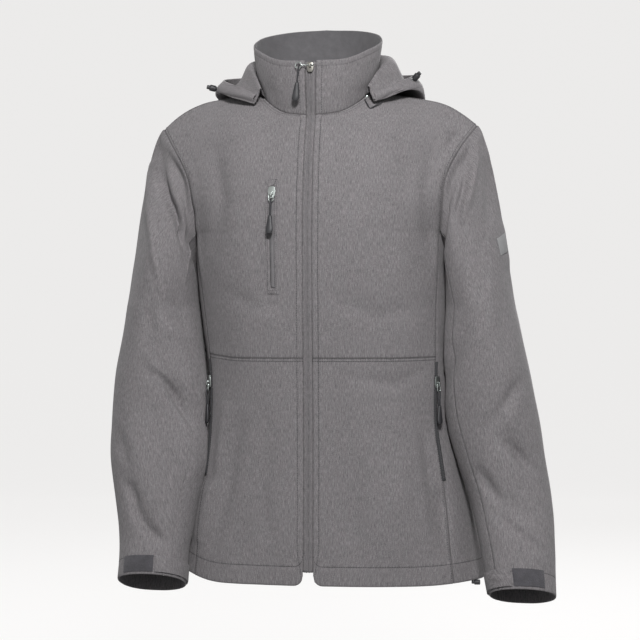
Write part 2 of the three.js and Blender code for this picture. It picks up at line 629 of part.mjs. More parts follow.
// The outward directions at every corner of a set of quads, halfway between the pieces that meet there.
function normalsOf(sheets) {
  const normals = new Map();
  for (const quads of sheets) {
    const own = new Map();
    for (const [a, b, c, d] of quads) {
      const n = c.clone().sub(a).cross(d.clone().sub(b)).normalize();
      for (const p of [a, b, c, d]) {
        const key = keyOf(p);
        if (!own.has(key)) own.set(key, vector(0, 0, 0));
        own.get(key).add(n);
      }
    }
    for (const [key, n] of own) {
      if (!normals.has(key)) normals.set(key, vector(0, 0, 0));
      normals.get(key).add(n.normalize());
    }
  }
  for (const n of normals.values()) n.normalize();
  return normals;
}

// A closed wall over quads: the outer face is the surface moved out by lift, the inner one lies the
// thickness below it, and the free edges are drawn in a little, so that two pieces keep their seam's gap.
function wall(quads, normals, thickness, lift = 0, inset = SEAM_INSET) {
  const index = new Map();
  const points = [];
  const faces = quads.map((quad) =>
    quad.map((p) => {
      const key = keyOf(p);
      if (!index.has(key)) {
        index.set(key, points.length);
        points.push(p);
      }
      return index.get(key);
    }),
  );
  const uses = new Map();
  faces.forEach((face) => {
    face.forEach((a, i) => {
      const b = face[(i + 1) % face.length];
      uses.set(`${a},${b}`, [a, b]);
    });
  });
  const edges = [...uses.values()].filter(([a, b]) => a !== b && !uses.has(`${b},${a}`));
  const inward = points.map(() => vector(0, 0, 0));
  for (const [a, b] of edges) {
    const n = normals.get(keyOf(points[a]));
    const direction = n.clone().cross(points[b].clone().sub(points[a])).normalize();
    inward[a].add(direction);
    inward[b].add(direction);
  }
  const moved = points.map((p, i) => {
    const shift = inward[i].lengthSq() > 0 ? inward[i].clone().normalize().multiplyScalar(inset) : inward[i];
    return p.clone().add(shift);
  });
  const vertices = [];
  for (const depth of [lift, lift - thickness]) {
    moved.forEach((p, i) => {
      const n = normals.get(keyOf(points[i]));
      vertices.push(...p.clone().addScaledVector(n, depth).toArray());
    });
  }
  const count = points.length;
  const triangles = [];
  for (const [a, b, c, d] of faces) {
    for (const t of [[a, b, c], [a, c, d]]) {
      if (new Set(t).size < 3) continue;
      triangles.push(...t, t[2] + count, t[1] + count, t[0] + count);
    }
  }
  for (const [a, b] of edges) {
    const [c, d] = [a + count, b + count];
    if (keyOf(points[a]) < keyOf(points[b])) triangles.push(a, c, d, a, d, b);
    else triangles.push(a, c, b, b, c, d);
  }
  const geometry = new THREE.BufferGeometry();
  geometry.setAttribute("position", new THREE.Float32BufferAttribute(vertices, 3));
  geometry.setIndex(triangles);
  return geometry;
}

// A body lofted through rings of points that all run the same way round, closed at both ends.
function loft(rings) {
  const count = rings[0].length;
  const vertices = rings.flat().flatMap((p) => p.toArray());
  const triangles = [];
  for (let i = 0; i + 1 < rings.length; i++) {
    for (let j = 0; j < count; j++) {
      const [a, b] = [i * count + j, i * count + ((j + 1) % count)];
      triangles.push(a, b + count, b, a, a + count, b + count);
    }
  }
  const flat = (ring) => {
    const out = ring[2].clone().sub(ring[0]).cross(ring[1].clone().sub(ring[0]));
    const centre = ring.reduce((sum, p) => sum.add(p), vector(0, 0, 0)).divideScalar(count);
    for (let j = 0; j < count; j++) {
      out.add(ring[j].clone().sub(centre).cross(ring[(j + 1) % count].clone().sub(centre)));
    }
    out.normalize();
    const x = ring[1].clone().sub(ring[0]);
    x.addScaledVector(out, -x.dot(out)).normalize();
    const y = out.clone().cross(x);
    return ring.map((p) => new THREE.Vector2(p.clone().sub(centre).dot(x), p.clone().sub(centre).dot(y)));
  };
  const base = (rings.length - 1) * count;
  for (const [a, b, c] of THREE.ShapeUtils.triangulateShape(flat(rings[0]), [])) triangles.push(a, b, c);
  for (const [a, b, c] of THREE.ShapeUtils.triangulateShape(flat(rings[rings.length - 1]), [])) {
    triangles.push(base + c, base + b, base + a);
  }
  const geometry = new THREE.BufferGeometry();
  geometry.setAttribute("position", new THREE.Float32BufferAttribute(vertices, 3));
  geometry.setIndex(triangles);
  return geometry;
}

// A strip of one section along a path; each profile row is a distance across and a height.
function strip(path, outs, profile, droop = () => 0) {
  return loft(
    path.map((p, i) => {
      const along = path[Math.min(i + 1, path.length - 1)].clone().sub(path[Math.max(i - 1, 0)]).normalize();
      const out = outs[i].clone().addScaledVector(along, -outs[i].dot(along)).normalize();
      const across = along.clone().cross(out);
      return profile.map(({ side, high }) => {
        const lower = droop(p.z) * (side / TAPE_HALF) ** 2;
        return p.clone().addScaledVector(across, side).addScaledVector(out, high - lower);
      });
    }),
  );
}

// The closed solid of a geometry, and back, for cutting and joining.
function solid(geometry) {
  const bare = geometry.clone();
  bare.deleteAttribute("normal");
  bare.deleteAttribute("uv");
  const merged = mergeVertices(bare.index ? bare.toNonIndexed() : bare, 1e-4);
  return new wasm.Manifold(
    new wasm.Mesh({
      numProp: 3,
      vertProperties: merged.attributes.position.array,
      triVerts: new Uint32Array(merged.index.array),
    }),
  );
}
function geometryOf(body) {
  const mesh = body.getMesh();
  const geometry = new THREE.BufferGeometry();
  geometry.setAttribute("position", new THREE.BufferAttribute(mesh.vertProperties, 3));
  geometry.setIndex(new THREE.BufferAttribute(mesh.triVerts, 1));
  return geometry;
}
const joined = (...parts) => geometryOf(parts.map(solid).reduce((sum, part) => sum.add(part)));

// A point on the flat facets of a panel, and a piece laid on them between two pairs of limits.
function onPanel(surface, us, vs, flip) {
  const cell = (lines, at) => {
    let i = 0;
    while (i < lines.length - 2 && at > lines[i + 1]) i++;
    return [i, (at - lines[i]) / (lines[i + 1] - lines[i])];
  };
  return (u, v) => {
    const [i, s] = cell(us, u);
    const [j, t] = cell(vs, v);
    const a = surface(us[i], vs[j]);
    const b = surface(us[i + 1], vs[j]);
    const c = surface(us[i + 1], vs[j + 1]);
    const d = surface(us[i], vs[j + 1]);
    const mix = (from, first, one, second, two) =>
      from.clone().addScaledVector(one.clone().sub(first), s).addScaledVector(two.clone().sub(second), t);
    if (!flip) return s >= t ? mix(a, a, b, b, c) : mix(a, d, c, a, d);
    return s + t <= 1 ? mix(a, a, b, a, d) : mix(c, d, c, b, c).add(d).add(b).sub(c).sub(c);
  };
}
const within = (lines, low, high) => [
  low,
  ...lines.filter((line) => line > low + 1e-3 && line < high - 1e-3),
  high,
];
function laid(surface, us, vs, flip, limits, thickness, { hole = () => false, lift = 0 } = {}) {
  const facet = onPanel(surface, us, vs, flip);
  const between = (lines, stops) =>
    stops.slice(1).reduce((all, to, i) => [...all, ...within(lines, stops[i], to).slice(1)], [stops[0]]);
  const columns = between(us, limits.us);
  const rows = between(vs, limits.vs);
  const whole = grid(facet, columns, rows, flip);
  const quads = [];
  for (let i = 0; i + 1 < columns.length; i++) {
    for (let j = 0; j + 1 < rows.length; j++) {
      const middleOf = [(columns[i] + columns[i + 1]) / 2, (rows[j] + rows[j + 1]) / 2];
      if (!hole(...middleOf)) quads.push(whole[i * (rows.length - 1) + j]);
    }
  }
  return wall(quads, normalsOf([whole]), thickness, LAID_ON + lift + thickness, 0);
}

const material = (color, roughness, metalness = 0) =>
  new THREE.MeshStandardMaterial({ color, roughness, metalness });
const SHELL = material(SHELL_COLOUR, 0.92);
const FACING = material(FACING_COLOUR, 0.95);
const TAPE = material(TAPE_COLOUR, 0.9);
const LOOP = material(LOOP_COLOUR, 1);
const METAL = material(METAL_COLOUR, 0.35, 0.9);
const RUBBER = material(RUBBER_COLOUR, 0.6);
const CORD_FINISH = material(CORD_COLOUR, 0.8);
const LABEL_FINISH = material(LABEL_COLOUR, 0.9);

const jacket = new THREE.Group();
function add(name, geometry, finish, parent = jacket) {
  const mesh = new THREE.Mesh(geometry, finish);
  mesh.name = name;
  parent.add(mesh);
  return mesh;
}

// Cloth pieces of the shell, all cut from the one surface.
const share = (count, from = 0, to = 1) => range(count).map((i) => lerp(from, to, i / count));
const pocketLevel = (POCKET_SEAM_Z - HEM_Z) / (UNDERARM_ROW_Z - HEM_Z);
const lowerLevels = share(LOWER_ROWS, 0, pocketLevel);
const middleLevels = share(MIDDLE_ROWS, pocketLevel, 1);
const chestLevels = share(CHEST_ROWS, 1, 2);
const upperLevels = [...middleLevels, ...chestLevels.slice(1)];
const trunkLevels = [...lowerLevels, ...middleLevels.slice(1)];
const backLevels = [...trunkLevels, ...chestLevels.slice(1)];
const neckTurns = (side) => [
  ...share(CHEST_ROWS - CHEST_CORNER_ROW, FRONT_TURN, SHOULDER_TURN),
  ...share(CHEST_ROWS - BACK_CORNER_ROW, SHOULDER_TURN, 180).slice(1),
].map((turn) => side * turn);
const sleeveRounds = [
  ...share(CHEST_ROWS, 0, ARMHOLE_FRONT_SHARE),
  ...share(SIDE_COLUMNS, ARMHOLE_FRONT_SHARE, ARMHOLE_BACK_SHARE).slice(1),
  ...share(CHEST_ROWS, ARMHOLE_BACK_SHARE, 1).slice(1),
];
const sleeveLengths = [
  ...share(SLEEVE_HEAD_RINGS, 0, SLEEVE_HEAD_SHARE),
  ...share(SLEEVE_RINGS, SLEEVE_HEAD_SHARE, 1).slice(1),
];
const SEAM_ROUND_FRONT = CHEST_ROWS;
const SEAM_ROUND_BACK = CHEST_ROWS + SIDE_COLUMNS;

const sheets = {};
for (const side of [-1, 1]) {
  const name = sideName(side);
  const flip = side < 0;
  const on = (surface) => (u, v) => surface(side, u, v);
  sheets[`front_lower_${name}`] = grid(on(frontPoint), PANEL_COLUMNS, lowerLevels, flip);
  sheets[`front_upper_${name}`] = grid(on(frontPoint), PANEL_COLUMNS, upperLevels, flip);
  sheets[`side_panel_${name}`] = grid(on(sidePoint), share(SIDE_COLUMNS), trunkLevels, flip);
  const rounds = sleeveRounds;
  const top = [...rounds.slice(SEAM_ROUND_BACK), ...rounds.slice(1, SEAM_ROUND_FRONT + 1).map((r) => r + 1)];
  const sleeve = (round, along) => sleevePoint(side, round > 1 ? round - 1 : round, along);
  sheets[`sleeve_top_${name}`] = grid(sleeve, top, sleeveLengths, flip);
  const under = rounds.slice(SEAM_ROUND_FRONT, SEAM_ROUND_BACK + 1);
  sheets[`sleeve_under_${name}`] = grid(sleeve, under, sleeveLengths, flip);
}
sheets.back = [
  ...grid((u, v) => backPoint(-1, u, v), PANEL_COLUMNS, backLevels, false),
  ...grid((u, v) => backPoint(1, u, v), PANEL_COLUMNS, backLevels, true),
];
const collarTurns = [...neckTurns(1), ...neckTurns(-1).reverse().slice(1)];
sheets.collar_outer = grid(collarPoint, collarTurns, share(COLLAR_ROWS));

const shellNormals = normalsOf(Object.values(sheets));
for (const [name, quads] of Object.entries(sheets)) {
  add(name, wall(quads, shellNormals, SHELL_WALL), SHELL);
}

// The collar's facing hangs just inside it, and stops at the zip's tape.
const facingTurns = neckTurns(1);
const facingQuads = [1, -1].flatMap((side) => {
  const surface = (turn, up) => collarPoint(side * turn, up);
  const facet = onPanel(surface, facingTurns, share(COLLAR_ROWS), side < 0);
  return grid(facet, within(facingTurns, FACING_TURN, 180), share(COLLAR_ROWS), side < 0);
});
add("collar_facing", wall(facingQuads, normalsOf([facingQuads]), FACING_WALL, -SHELL_WALL - LAID_ON), FACING);

// The hood, in a middle piece and two sides, from its seam inside the pouch to the rim.
const hoodSheets = {};
const hoodRows = share(HOOD_ROWS);
// Its columns run through the collar's own, with one more between each two of them.
const collarStops = neckTurns(1).filter((turn) => turn > HOOD_FRONT_TURN);
const hoodTurns = collarStops.reduce(
  (all, turn) => [...all, (all[all.length - 1] + turn) / 2, turn],
  [HOOD_FRONT_TURN],
);
const sideTurns = hoodTurns.slice(0, -2);
const middleTurns = hoodTurns.slice(-3).concat(hoodTurns.slice(-3, -1).reverse().map((turn) => 360 - turn));
hoodSheets.hood_side_left = grid(hoodPoint, sideTurns, hoodRows);
hoodSheets.hood_side_right = grid(hoodPoint, sideTurns.map((turn) => -turn), hoodRows, true);
const middle = (turn, across) => hoodPoint(turn > 180 ? turn - 360 : turn, across);
hoodSheets.hood_centre = grid(middle, middleTurns, hoodRows);
const hoodNormals = normalsOf(Object.values(hoodSheets));
for (const [name, quads] of Object.entries(hoodSheets)) {
  add(name, wall(quads, hoodNormals, HOOD_WALL), SHELL);
}

// The level of a height on the front, and the share across it at a distance from the centre.
const levelAt = (z) => 1 + ((z - UNDERARM_ROW_Z) / (FRONT_NECK_Z - UNDERARM_ROW_Z)) * CHEST_CORNER;
const levelBelow = (z) => (z - HEM_Z) / (UNDERARM_ROW_Z - HEM_Z);
const heightLevel = (z) => (z > UNDERARM_ROW_Z ? levelAt(z) : levelBelow(z));
function acrossAt(side, x, level) {
  let [low, high] = [0, 1];
  for (const _ of range(24)) {
    const middleOf = (low + high) / 2;
    if (Math.abs(frontPoint(side, middleOf, level).x) < x) low = middleOf;
    else high = middleOf;
  }
  return low;
}

// The chest pocket's welt, a stitched frame on the wearer's right, with its zip inside.
const chest = (u, v) => frontPoint(-1, u, v);
const weltMiddle = acrossAt(-1, CHEST_ZIP.x, heightLevel((CHEST_ZIP.top + CHEST_ZIP.bottom) / 2));
const chestLevel = heightLevel((CHEST_ZIP.top + CHEST_ZIP.bottom) / 2);
const beside = (share) => chest(weltMiddle + share, chestLevel);
const perMillimetre = 0.02 / beside(0.01).distanceTo(beside(-0.01));
const halfWelt = (WELT.width / 2) * perMillimetre;
const halfZip = (CHEST_ZIP.slot / 2) * perMillimetre;
const weltLimits = {
  us: [weltMiddle - halfWelt, weltMiddle - halfZip, weltMiddle + halfZip, weltMiddle + halfWelt],
  vs: [
    heightLevel(CHEST_ZIP.bottom - WELT.end),
    heightLevel(CHEST_ZIP.bottom),
    heightLevel(CHEST_ZIP.top),
    heightLevel(CHEST_ZIP.top + WELT.end),
  ],
};
const inSlot = (u, v) =>
  u > weltLimits.us[1] && u < weltLimits.us[2] && v > weltLimits.vs[1] && v < weltLimits.vs[2];
const welt = laid(chest, PANEL_COLUMNS, upperLevels, true, weltLimits, WELT_WALL, { hole: inSlot });
add("welt_chest", welt, SHELL);

// Where each zip runs, point by point, with the direction that the cloth faces there.
function facingOf(surface, u, v, turnedRound) {
  const step = 0.004;
  const du = surface(u + step, v).sub(surface(u - step, v));
  const dv = surface(u, v + step).sub(surface(u, v - step));
  const out = du.cross(dv).normalize();
  return turnedRound ? out.negate() : out;
}
function zipPath(surface, us, vs, turnedRound, u, heights) {
  const facet = onPanel(surface, us, vs, turnedRound);
  return {
    path: heights.map((z) => facet(u, heightLevel(z))),
    outs: heights.map((z) => facingOf(surface, u, heightLevel(z), turnedRound)),
  };
}
const chestEnds = [CHEST_ZIP.bottom + CHEST_ZIP.short, CHEST_ZIP.top - CHEST_ZIP.short];
const upperHeights = share(CHEST_ZIP.steps, ...chestEnds);
const chestZip = zipPath(chest, PANEL_COLUMNS, upperLevels, true, weltMiddle, upperHeights);
add("zip_chest", strip(chestZip.path, chestZip.outs, POCKET_ZIP_SECTION), TAPE);

// The main zip: its tape lies behind the front edges, and its coil stands in the opening.
function zipLine(z) {
  if (z <= FRONT_NECK_Z) return vector(0, -column(TRUNK, "z", "front", z), z);
  return collarPoint(0, (z - FRONT_NECK_Z) / (NECK_TURNS[0].top - FRONT_NECK_Z));
}
const mainHeights = [
  ...share(MAIN_ZIP_STEPS, ZIP_BOTTOM_Z, FRONT_NECK_Z),
  ...share(COLLAR_ROWS, FRONT_NECK_Z, NECK_TURNS[0].top - 1).slice(1),
];
const outAt = (z) => {
  const slope = zipLine(z + 2).sub(zipLine(z - 2)).normalize();
  return vector(0, -slope.z, slope.y).normalize();
};
const roundTheNeck = (z) => TAPE_DROOP * smooth(TAPE_DROOP_FROM_Z, TAPE_DROOP_FULL_Z, z);
const mainZip = { path: mainHeights.map(zipLine), outs: mainHeights.map(outAt) };
add("zip_main", strip(mainZip.path, mainZip.outs, MAIN_ZIP_SECTION, roundTheNeck), TAPE);

// The hand pockets' zips run down the side panels' front seams.
const pocketHeights = share(POCKET_ZIP.steps, POCKET_ZIP.bottom, POCKET_ZIP.top);
const handZips = {};
for (const side of [-1, 1]) {
  const surface = (u, v) => (u <= 1 ? frontPoint(side, u, v) : sidePoint(side, u - 1, v));
  const outs = pocketHeights.map((z) => facingOf(surface, 1, levelBelow(z), side < 0));
  const facet = onPanel((u, v) => frontPoint(side, u, v), [0, 1], lowerLevels, side < 0);
  const path = pocketHeights.map((z) => facet(1, levelBelow(z)));
  handZips[side] = { path, outs };
  add(`zip_pocket_${sideName(side)}`, strip(path, outs, POCKET_ZIP_SECTION), TAPE);
}

// A place on a zip: the point, and the directions across it, along it and out of it.
function placeOn({ path, outs }, z) {
  let i = 0;
  while (i < path.length - 2 && z > path[i + 1].z) i++;
  const t = (z - path[i].z) / (path[i + 1].z - path[i].z);
  const up = path[i + 1].clone().sub(path[i]).normalize();
  const mixed = outs[i].clone().lerp(outs[i + 1], t);
  const out = mixed.addScaledVector(up, -mixed.dot(up)).normalize();
  const across = up.clone().cross(out);
  return new THREE.Matrix4().makeBasis(across, up, out).setPosition(path[i].clone().lerp(path[i + 1], t));
}

// A flat plate from an outline in its own plane, standing from one height to another.
function plate(outline, from, to) {
  const shape = new THREE.Shape(outline.map(([x, y]) => new THREE.Vector2(x, y)));
  return new THREE.ExtrudeGeometry(shape, { depth: to - from, bevelEnabled: false }).translate(0, 0, from);
}

// A zip's slider: a shield-shaped body over the coil, with a bridge whose eye carries the pull.
function slider(name, place, size) {
  const { width, length, base, thick, eye } = size;
  const outline = [
    [-0.28, -0.5], [0.28, -0.5], [0.42, -0.28], [0.5, 0.1], [0.42, 0.42], [0.2, 0.5],
    [-0.2, 0.5], [-0.42, 0.42], [-0.5, 0.1], [-0.42, -0.28],
  ].map(([x, y]) => [x * width, y * length]);
  const body = plate(outline, base, base + thick);
  const top = base + thick;
  const inside = top + EYE.floor + EYE.tall;
  const bridge = [
    [-EYE.foot, top - 0.4], [-EYE.foot, top + EYE.rise * 0.6], [-EYE.foot * 0.6, top + EYE.rise],
    [EYE.foot * 0.6, top + EYE.rise], [EYE.foot, top + EYE.rise * 0.6], [EYE.foot, top - 0.4],
    [EYE.half, top - 0.4], [EYE.half, inside], [-EYE.half, inside], [-EYE.half, top - 0.4],
  ].map(([x, y]) => [x + eye, y]);
  const arch = plate(bridge, -EYE.width / 2, EYE.width / 2);
  arch.applyMatrix4(new THREE.Matrix4().makeBasis(vector(0, 1, 0), vector(0, 0, 1), vector(1, 0, 0)));
  const mesh = add(name, joined(body, arch), METAL);
  mesh.applyMatrix4(place);
}

// The pull's hinge line inside a slider's eye, in the slider's own frame.
const eyeHeight = (size) => size.base + size.thick + EYE.floor + WIRE.radius;

// A tube round a path of points, and one that closes on itself.
function tube(points, radius, closed = false, sides = 8) {
  const path = new THREE.CatmullRomCurve3(points, closed, "centripetal");
  const section = new THREE.Shape(
    share(sides - 1, 0, ((sides - 1) / sides) * 2 * Math.PI).map(
      (a) => new THREE.Vector2(radius * Math.cos(a), radius * Math.sin(a)),
    ),
  );
  const steps = closed ? points.length * 2 : (points.length - 1) * 2;
  return new THREE.ExtrudeGeometry(section, { steps, bevelEnabled: false, extrudePath: path });
}

// A pull: a wire link through the slider's eye, a doubled cord on it and a rubber grip.
// In its own frame the hinge line is X through the origin and the pull hangs towards -Y.
function pull(name, hinge, link, hang, tilt) {
  const place = hinge.clone().multiply(new THREE.Matrix4().makeRotationX(degrees(-tilt)));
  const bars = [
    [-LINK.half, 0], [LINK.half, 0], [LINK.half, -LINK.length], [-LINK.half, -LINK.length],
  ];
  const ring = [];
  bars.forEach(([x, y], i) => {
    const [nx, ny] = bars[(i + 1) % bars.length];
    for (const t of [0.18, 0.5, 0.82]) ring.push(vector(lerp(x, nx, t), lerp(y, ny, t), 0));
  });
  const linkGeometry = link === "side" ? sideLink() : tube(ring, WIRE.radius, true);
  add(`link_${name}`, linkGeometry, METAL).applyMatrix4(place);
  const strand = (face) => [
    vector(0, -CORD.length, face * CORD.close),
    vector(0, -CORD.length * 0.6, face * CORD.close * 1.15),
    vector(0, -CORD.length * 0.25, face * CORD.half),
    vector(0, CORD.half * 0.7, face * CORD.half * 0.72),
  ];
  const cord = tube([...strand(-1), vector(0, CORD.half, 0), ...strand(1).reverse()], CORD.radius);
  const cordPlace = place.clone().multiply(hang);
  add(`cord_${name}`, cord, CORD_FINISH).applyMatrix4(cordPlace);
  const rings = GRIP.map(({ at, half, thick }) =>
    share(11, 0, (11 / 12) * 2 * Math.PI).map((a) =>
      vector(half * Math.cos(a), -CORD.length - LAID_ON - at, -thick * Math.sin(a)),
    ),
  );
  add(`grip_${name}`, loft(rings), RUBBER).applyMatrix4(cordPlace);
}

// The front zip's link lies along its hinge line: a bar through the eye that ends in an upright ring.
function sideLink() {
  const bar = new THREE.CylinderGeometry(WIRE.radius, WIRE.radius, SIDE_LINK.reach, 10);
  bar.rotateZ(Math.PI / 2).translate(-SIDE_LINK.reach / 2 + SIDE_LINK.past, 0, 0);
  const head = new THREE.CylinderGeometry(SIDE_LINK.head, SIDE_LINK.head, 1.2, 12);
  head.rotateZ(Math.PI / 2).translate(SIDE_LINK.past, 0, 0);
  const eye = new THREE.TorusGeometry(SIDE_LINK.ring, WIRE.radius, 8, 18);
  eye.translate(-SIDE_LINK.reach + SIDE_LINK.past - SIDE_LINK.ring, 0, 0);
  return joined(bar, head, eye);
}

const hangStraight = new THREE.Matrix4().setPosition(0, -LINK.length, 0);
const ringCentre = -SIDE_LINK.reach + SIDE_LINK.past - SIDE_LINK.ring;
const hangFromRing = new THREE.Matrix4().makeRotationZ(-degrees(SIDE_LINK.lean));
hangFromRing.setPosition(ringCentre, -SIDE_LINK.ring, 0);
const zips = [
  {
    name: "main",
    zip: mainZip,
    z: MAIN_SLIDER_Z,
    size: MAIN_SLIDER,
    link: "side",
    hang: hangFromRing,
    tilt: 2,
  },
  {
    name: "chest",
    zip: chestZip,
    z: CHEST_SLIDER_Z,
    size: POCKET_SLIDER,
    link: "ring",
    hang: hangStraight,
    tilt: 2,
  },
  {
    name: "pocket_right",
    zip: handZips[-1],
    z: POCKET_SLIDER_Z,
    size: POCKET_SLIDER,
    link: "ring",
    hang: hangStraight,
    tilt: 4,
  },
  {
    name: "pocket_left",
    zip: handZips[1],
    z: POCKET_SLIDER_Z,
    size: POCKET_SLIDER,
    link: "ring",
    hang: hangStraight,
    tilt: 4,
  },
];
for (const { name, zip, z, size, link, hang, tilt } of zips) {
  const place = placeOn(zip, z);
  slider(`slider_${name}`, place, size);
  const hinge = place.clone().multiply(new THREE.Matrix4().setPosition(0, size.eye, eyeHeight(size)));
  pull(name, hinge, link, hang, tilt);
}

// The cuffs: a loop patch on the front, and a tab that starts over its inner end and runs to the back.
for (const side of [-1, 1]) {
  const rounds = [...sleeveRounds, ...sleeveRounds.slice(1).map((r) => r + 1)];
  const surface = (u, v) => sleevePoint(side, u % 1, v);
  const cuff = (from, to) => ({
    us: [roundOf(from), roundOf(to)],
    vs: [1 - CUFF.rise / SLEEVE_RUN - CUFF.tall / SLEEVE_RUN, 1 - CUFF.rise / SLEEVE_RUN],
  });
  const patchLimits = cuff(CUFF.patchFrom, CUFF.patchTo);
  const patch = laid(surface, rounds, sleeveLengths, side < 0, patchLimits, PATCH_WALL);
  add(`cuff_patch_${sideName(side)}`, patch, LOOP);
  const tabLimits = cuff(CUFF.tabFrom, CUFF.tabTo);
  const tab = laid(surface, rounds, sleeveLengths, side < 0, tabLimits, TAB_WALL, { lift: TAB_LIFT });
  add(`cuff_tab_${sideName(side)}`, tab, SHELL);
}

// A spring cord lock: a barrel with a button in its end, on its own axis.
function cordLock(name, size) {
  const profile = [
    [0, 0], [0.8, 0], [1, 0.08], [1, 0.62], [0.86, 0.7], [0.66, 0.7], [0.66, 0.95], [0.55, 1], [0, 1],
  ].map(([r, y]) => new THREE.Vector2(r * size.radius, y * size.length));
  const body = new THREE.LatheGeometry(profile, 14);
  body.translate(0, -size.length / 2, 0);
  return add(name, joined(body), RUBBER);
}

// An eyelet: a flat metal ring set in the cloth.
function eyelet(name, size) {
  const profile = [
    [size.hole, 0], [size.outer, 0], [size.outer * 0.86, size.high], [size.hole * 1.15, size.high],
    [size.hole, 0],
  ].map(([r, y]) => new THREE.Vector2(r, y));
  return add(name, joined(new THREE.LatheGeometry(profile, 16)), METAL);
}

// Puts a piece on the hood: its own Y runs out of the cloth there.
function seatOnHood(mesh, side, across, lift) {
  const { turn } = HOOD_LOCK;
  const surface = onPanel((u, v) => hoodPoint(side * u, v), sideTurns, hoodRows, side < 0);
  const out = facingOf(surface, turn, across, side < 0);
  const round = surface(turn + 1, across).sub(surface(turn - 1, across)).normalize();
  const place = new THREE.Matrix4().makeBasis(out.clone().cross(round).normalize(), out, round);
  mesh.applyMatrix4(place.setPosition(surface(turn, across).addScaledVector(out, lift)));
}
for (const side of [-1, 1]) {
  const across = HOOD_LOCK[sideName(side)];
  const ring = eyelet(`eyelet_hood_${sideName(side)}`, EYELET);
  seatOnHood(ring, side, across, LAID_ON);
  const stub = add(`cord_hood_${sideName(side)}`, tube(HOOD_CORD, HOOD_CORD_RADIUS), CORD_FINISH);
  seatOnHood(stub, side, across, LAID_ON);
  const lock = cordLock(`lock_hood_${sideName(side)}`, LOCK);
  seatOnHood(lock, side, across, HOOD_LOCK.reach);
}

// The plain woven tab on the wearer's left sleeve.
const leftRounds = [...sleeveRounds, ...sleeveRounds.slice(1).map((r) => r + 1)];
const leftSleeve = (u, v) => sleevePoint(1, u % 1, v);
const labelLimits = {
  us: [roundOf(LABEL_TAB.from), roundOf(LABEL_TAB.to)],
  vs: [LABEL_TAB.top, LABEL_TAB.bottom],
};
const labelPiece = laid(leftSleeve, leftRounds, sleeveLengths, false, labelLimits, LABEL_TAB.thick);
add("sleeve_label", labelPiece, LABEL_FINISH);

// The hem cord's lock hangs under the hem at the wearer's left.
const hemLock = cordLock("lock_hem_left", HEM_LOCK);
const hemPlace = sidePoint(1, HEM_LOCK.across, 0);
hemLock.rotateZ(degrees(90));
hemLock.position.copy(hemPlace.add(vector(0, 0, -HEM_LOCK.radius - LAID_ON)));

export default jacket;
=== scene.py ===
"""A hooded softshell jacket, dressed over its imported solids.

Every cloth piece is a thin shell cut from one continuous surface, the same one that the solids
follow: rows round the trunk, rings down each sleeve, stations round the neck. Soft creases, rolled
seams and topstitching are laid on that surface, and the hard trims are seated on it.
Sizes are in millimetres on the surface and in metres in every mesh.
"""

from __future__ import annotations

import json
import logging
import math
from collections.abc import Callable, Sequence
from dataclasses import dataclass, field
from enum import Enum
from functools import partial

import bmesh
import bpy
import numpy as np
from bpy.types import Material, Mesh, Node, NodeSocket, NodeTree, Object
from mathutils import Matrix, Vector
from mathutils.bvhtree import BVHTree

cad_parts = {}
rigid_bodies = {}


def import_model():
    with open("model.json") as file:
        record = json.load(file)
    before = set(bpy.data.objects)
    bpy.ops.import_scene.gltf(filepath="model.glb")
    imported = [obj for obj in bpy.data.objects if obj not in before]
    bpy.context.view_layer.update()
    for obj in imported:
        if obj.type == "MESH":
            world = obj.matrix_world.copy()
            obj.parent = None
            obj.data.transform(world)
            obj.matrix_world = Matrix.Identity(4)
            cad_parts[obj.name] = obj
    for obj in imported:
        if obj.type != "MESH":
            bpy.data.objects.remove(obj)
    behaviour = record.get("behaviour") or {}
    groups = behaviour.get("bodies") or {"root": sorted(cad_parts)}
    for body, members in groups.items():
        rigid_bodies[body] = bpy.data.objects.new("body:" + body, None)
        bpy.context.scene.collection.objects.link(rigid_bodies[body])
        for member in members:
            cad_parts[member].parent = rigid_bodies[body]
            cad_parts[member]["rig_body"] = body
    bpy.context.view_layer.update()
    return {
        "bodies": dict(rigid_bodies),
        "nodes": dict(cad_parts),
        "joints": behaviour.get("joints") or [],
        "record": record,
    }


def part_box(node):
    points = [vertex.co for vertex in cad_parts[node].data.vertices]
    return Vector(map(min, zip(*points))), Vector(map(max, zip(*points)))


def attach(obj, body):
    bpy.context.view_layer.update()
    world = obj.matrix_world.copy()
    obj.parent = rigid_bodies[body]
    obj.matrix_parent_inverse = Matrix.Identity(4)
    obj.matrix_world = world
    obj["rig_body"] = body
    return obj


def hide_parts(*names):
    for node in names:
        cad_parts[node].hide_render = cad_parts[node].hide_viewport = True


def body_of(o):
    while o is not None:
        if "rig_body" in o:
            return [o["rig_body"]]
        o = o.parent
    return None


LOG = logging.getLogger("softshell")
MM = 0.001
Array = np.ndarray
Surface = Callable[[Array, Array], Array]

# Sizes that several pieces share, in millimetres.
SHELL_WALL, LAYER_GAP = 2.0, 0.35
HEM_Z, POCKET_SEAM_Z, UNDERARM_Z = -686.0, -372.0, -195.0
UNDERARM_DIP = 38.0
FRONT_NECK_Z, BACK_NECK_Z = -33.0, 32.5
OPENING_HALF, HEM_CORNER = 7.5, 13.0
SQUARENESS = 2.4
NECK_Y, NECK_WIDE, NECK_DEEP = -14.0, 80.0, 78.0
FRONT_TURN, SHOULDER_TURN = math.degrees(math.asin(OPENING_HALF / NECK_WIDE)), 98.0
CHEST_CORNER, BACK_CORNER = 6 / 11, 8 / 11
HEAD_SHARE, HEAD_GIRTH = 0.34, 65.0
SLEEVE_CLEARANCE, SLEEVE_ROUNDNESS = 4.0, 0.92
FRONT_SHARE, BACK_SHARE = 0.4, 0.6
FRONT_ANGLE, BACK_ANGLE = 133.0, 223.0
HOOD_FRONT_TURN, HOOD_MIDDLE_TURN = 61.0, 152.667
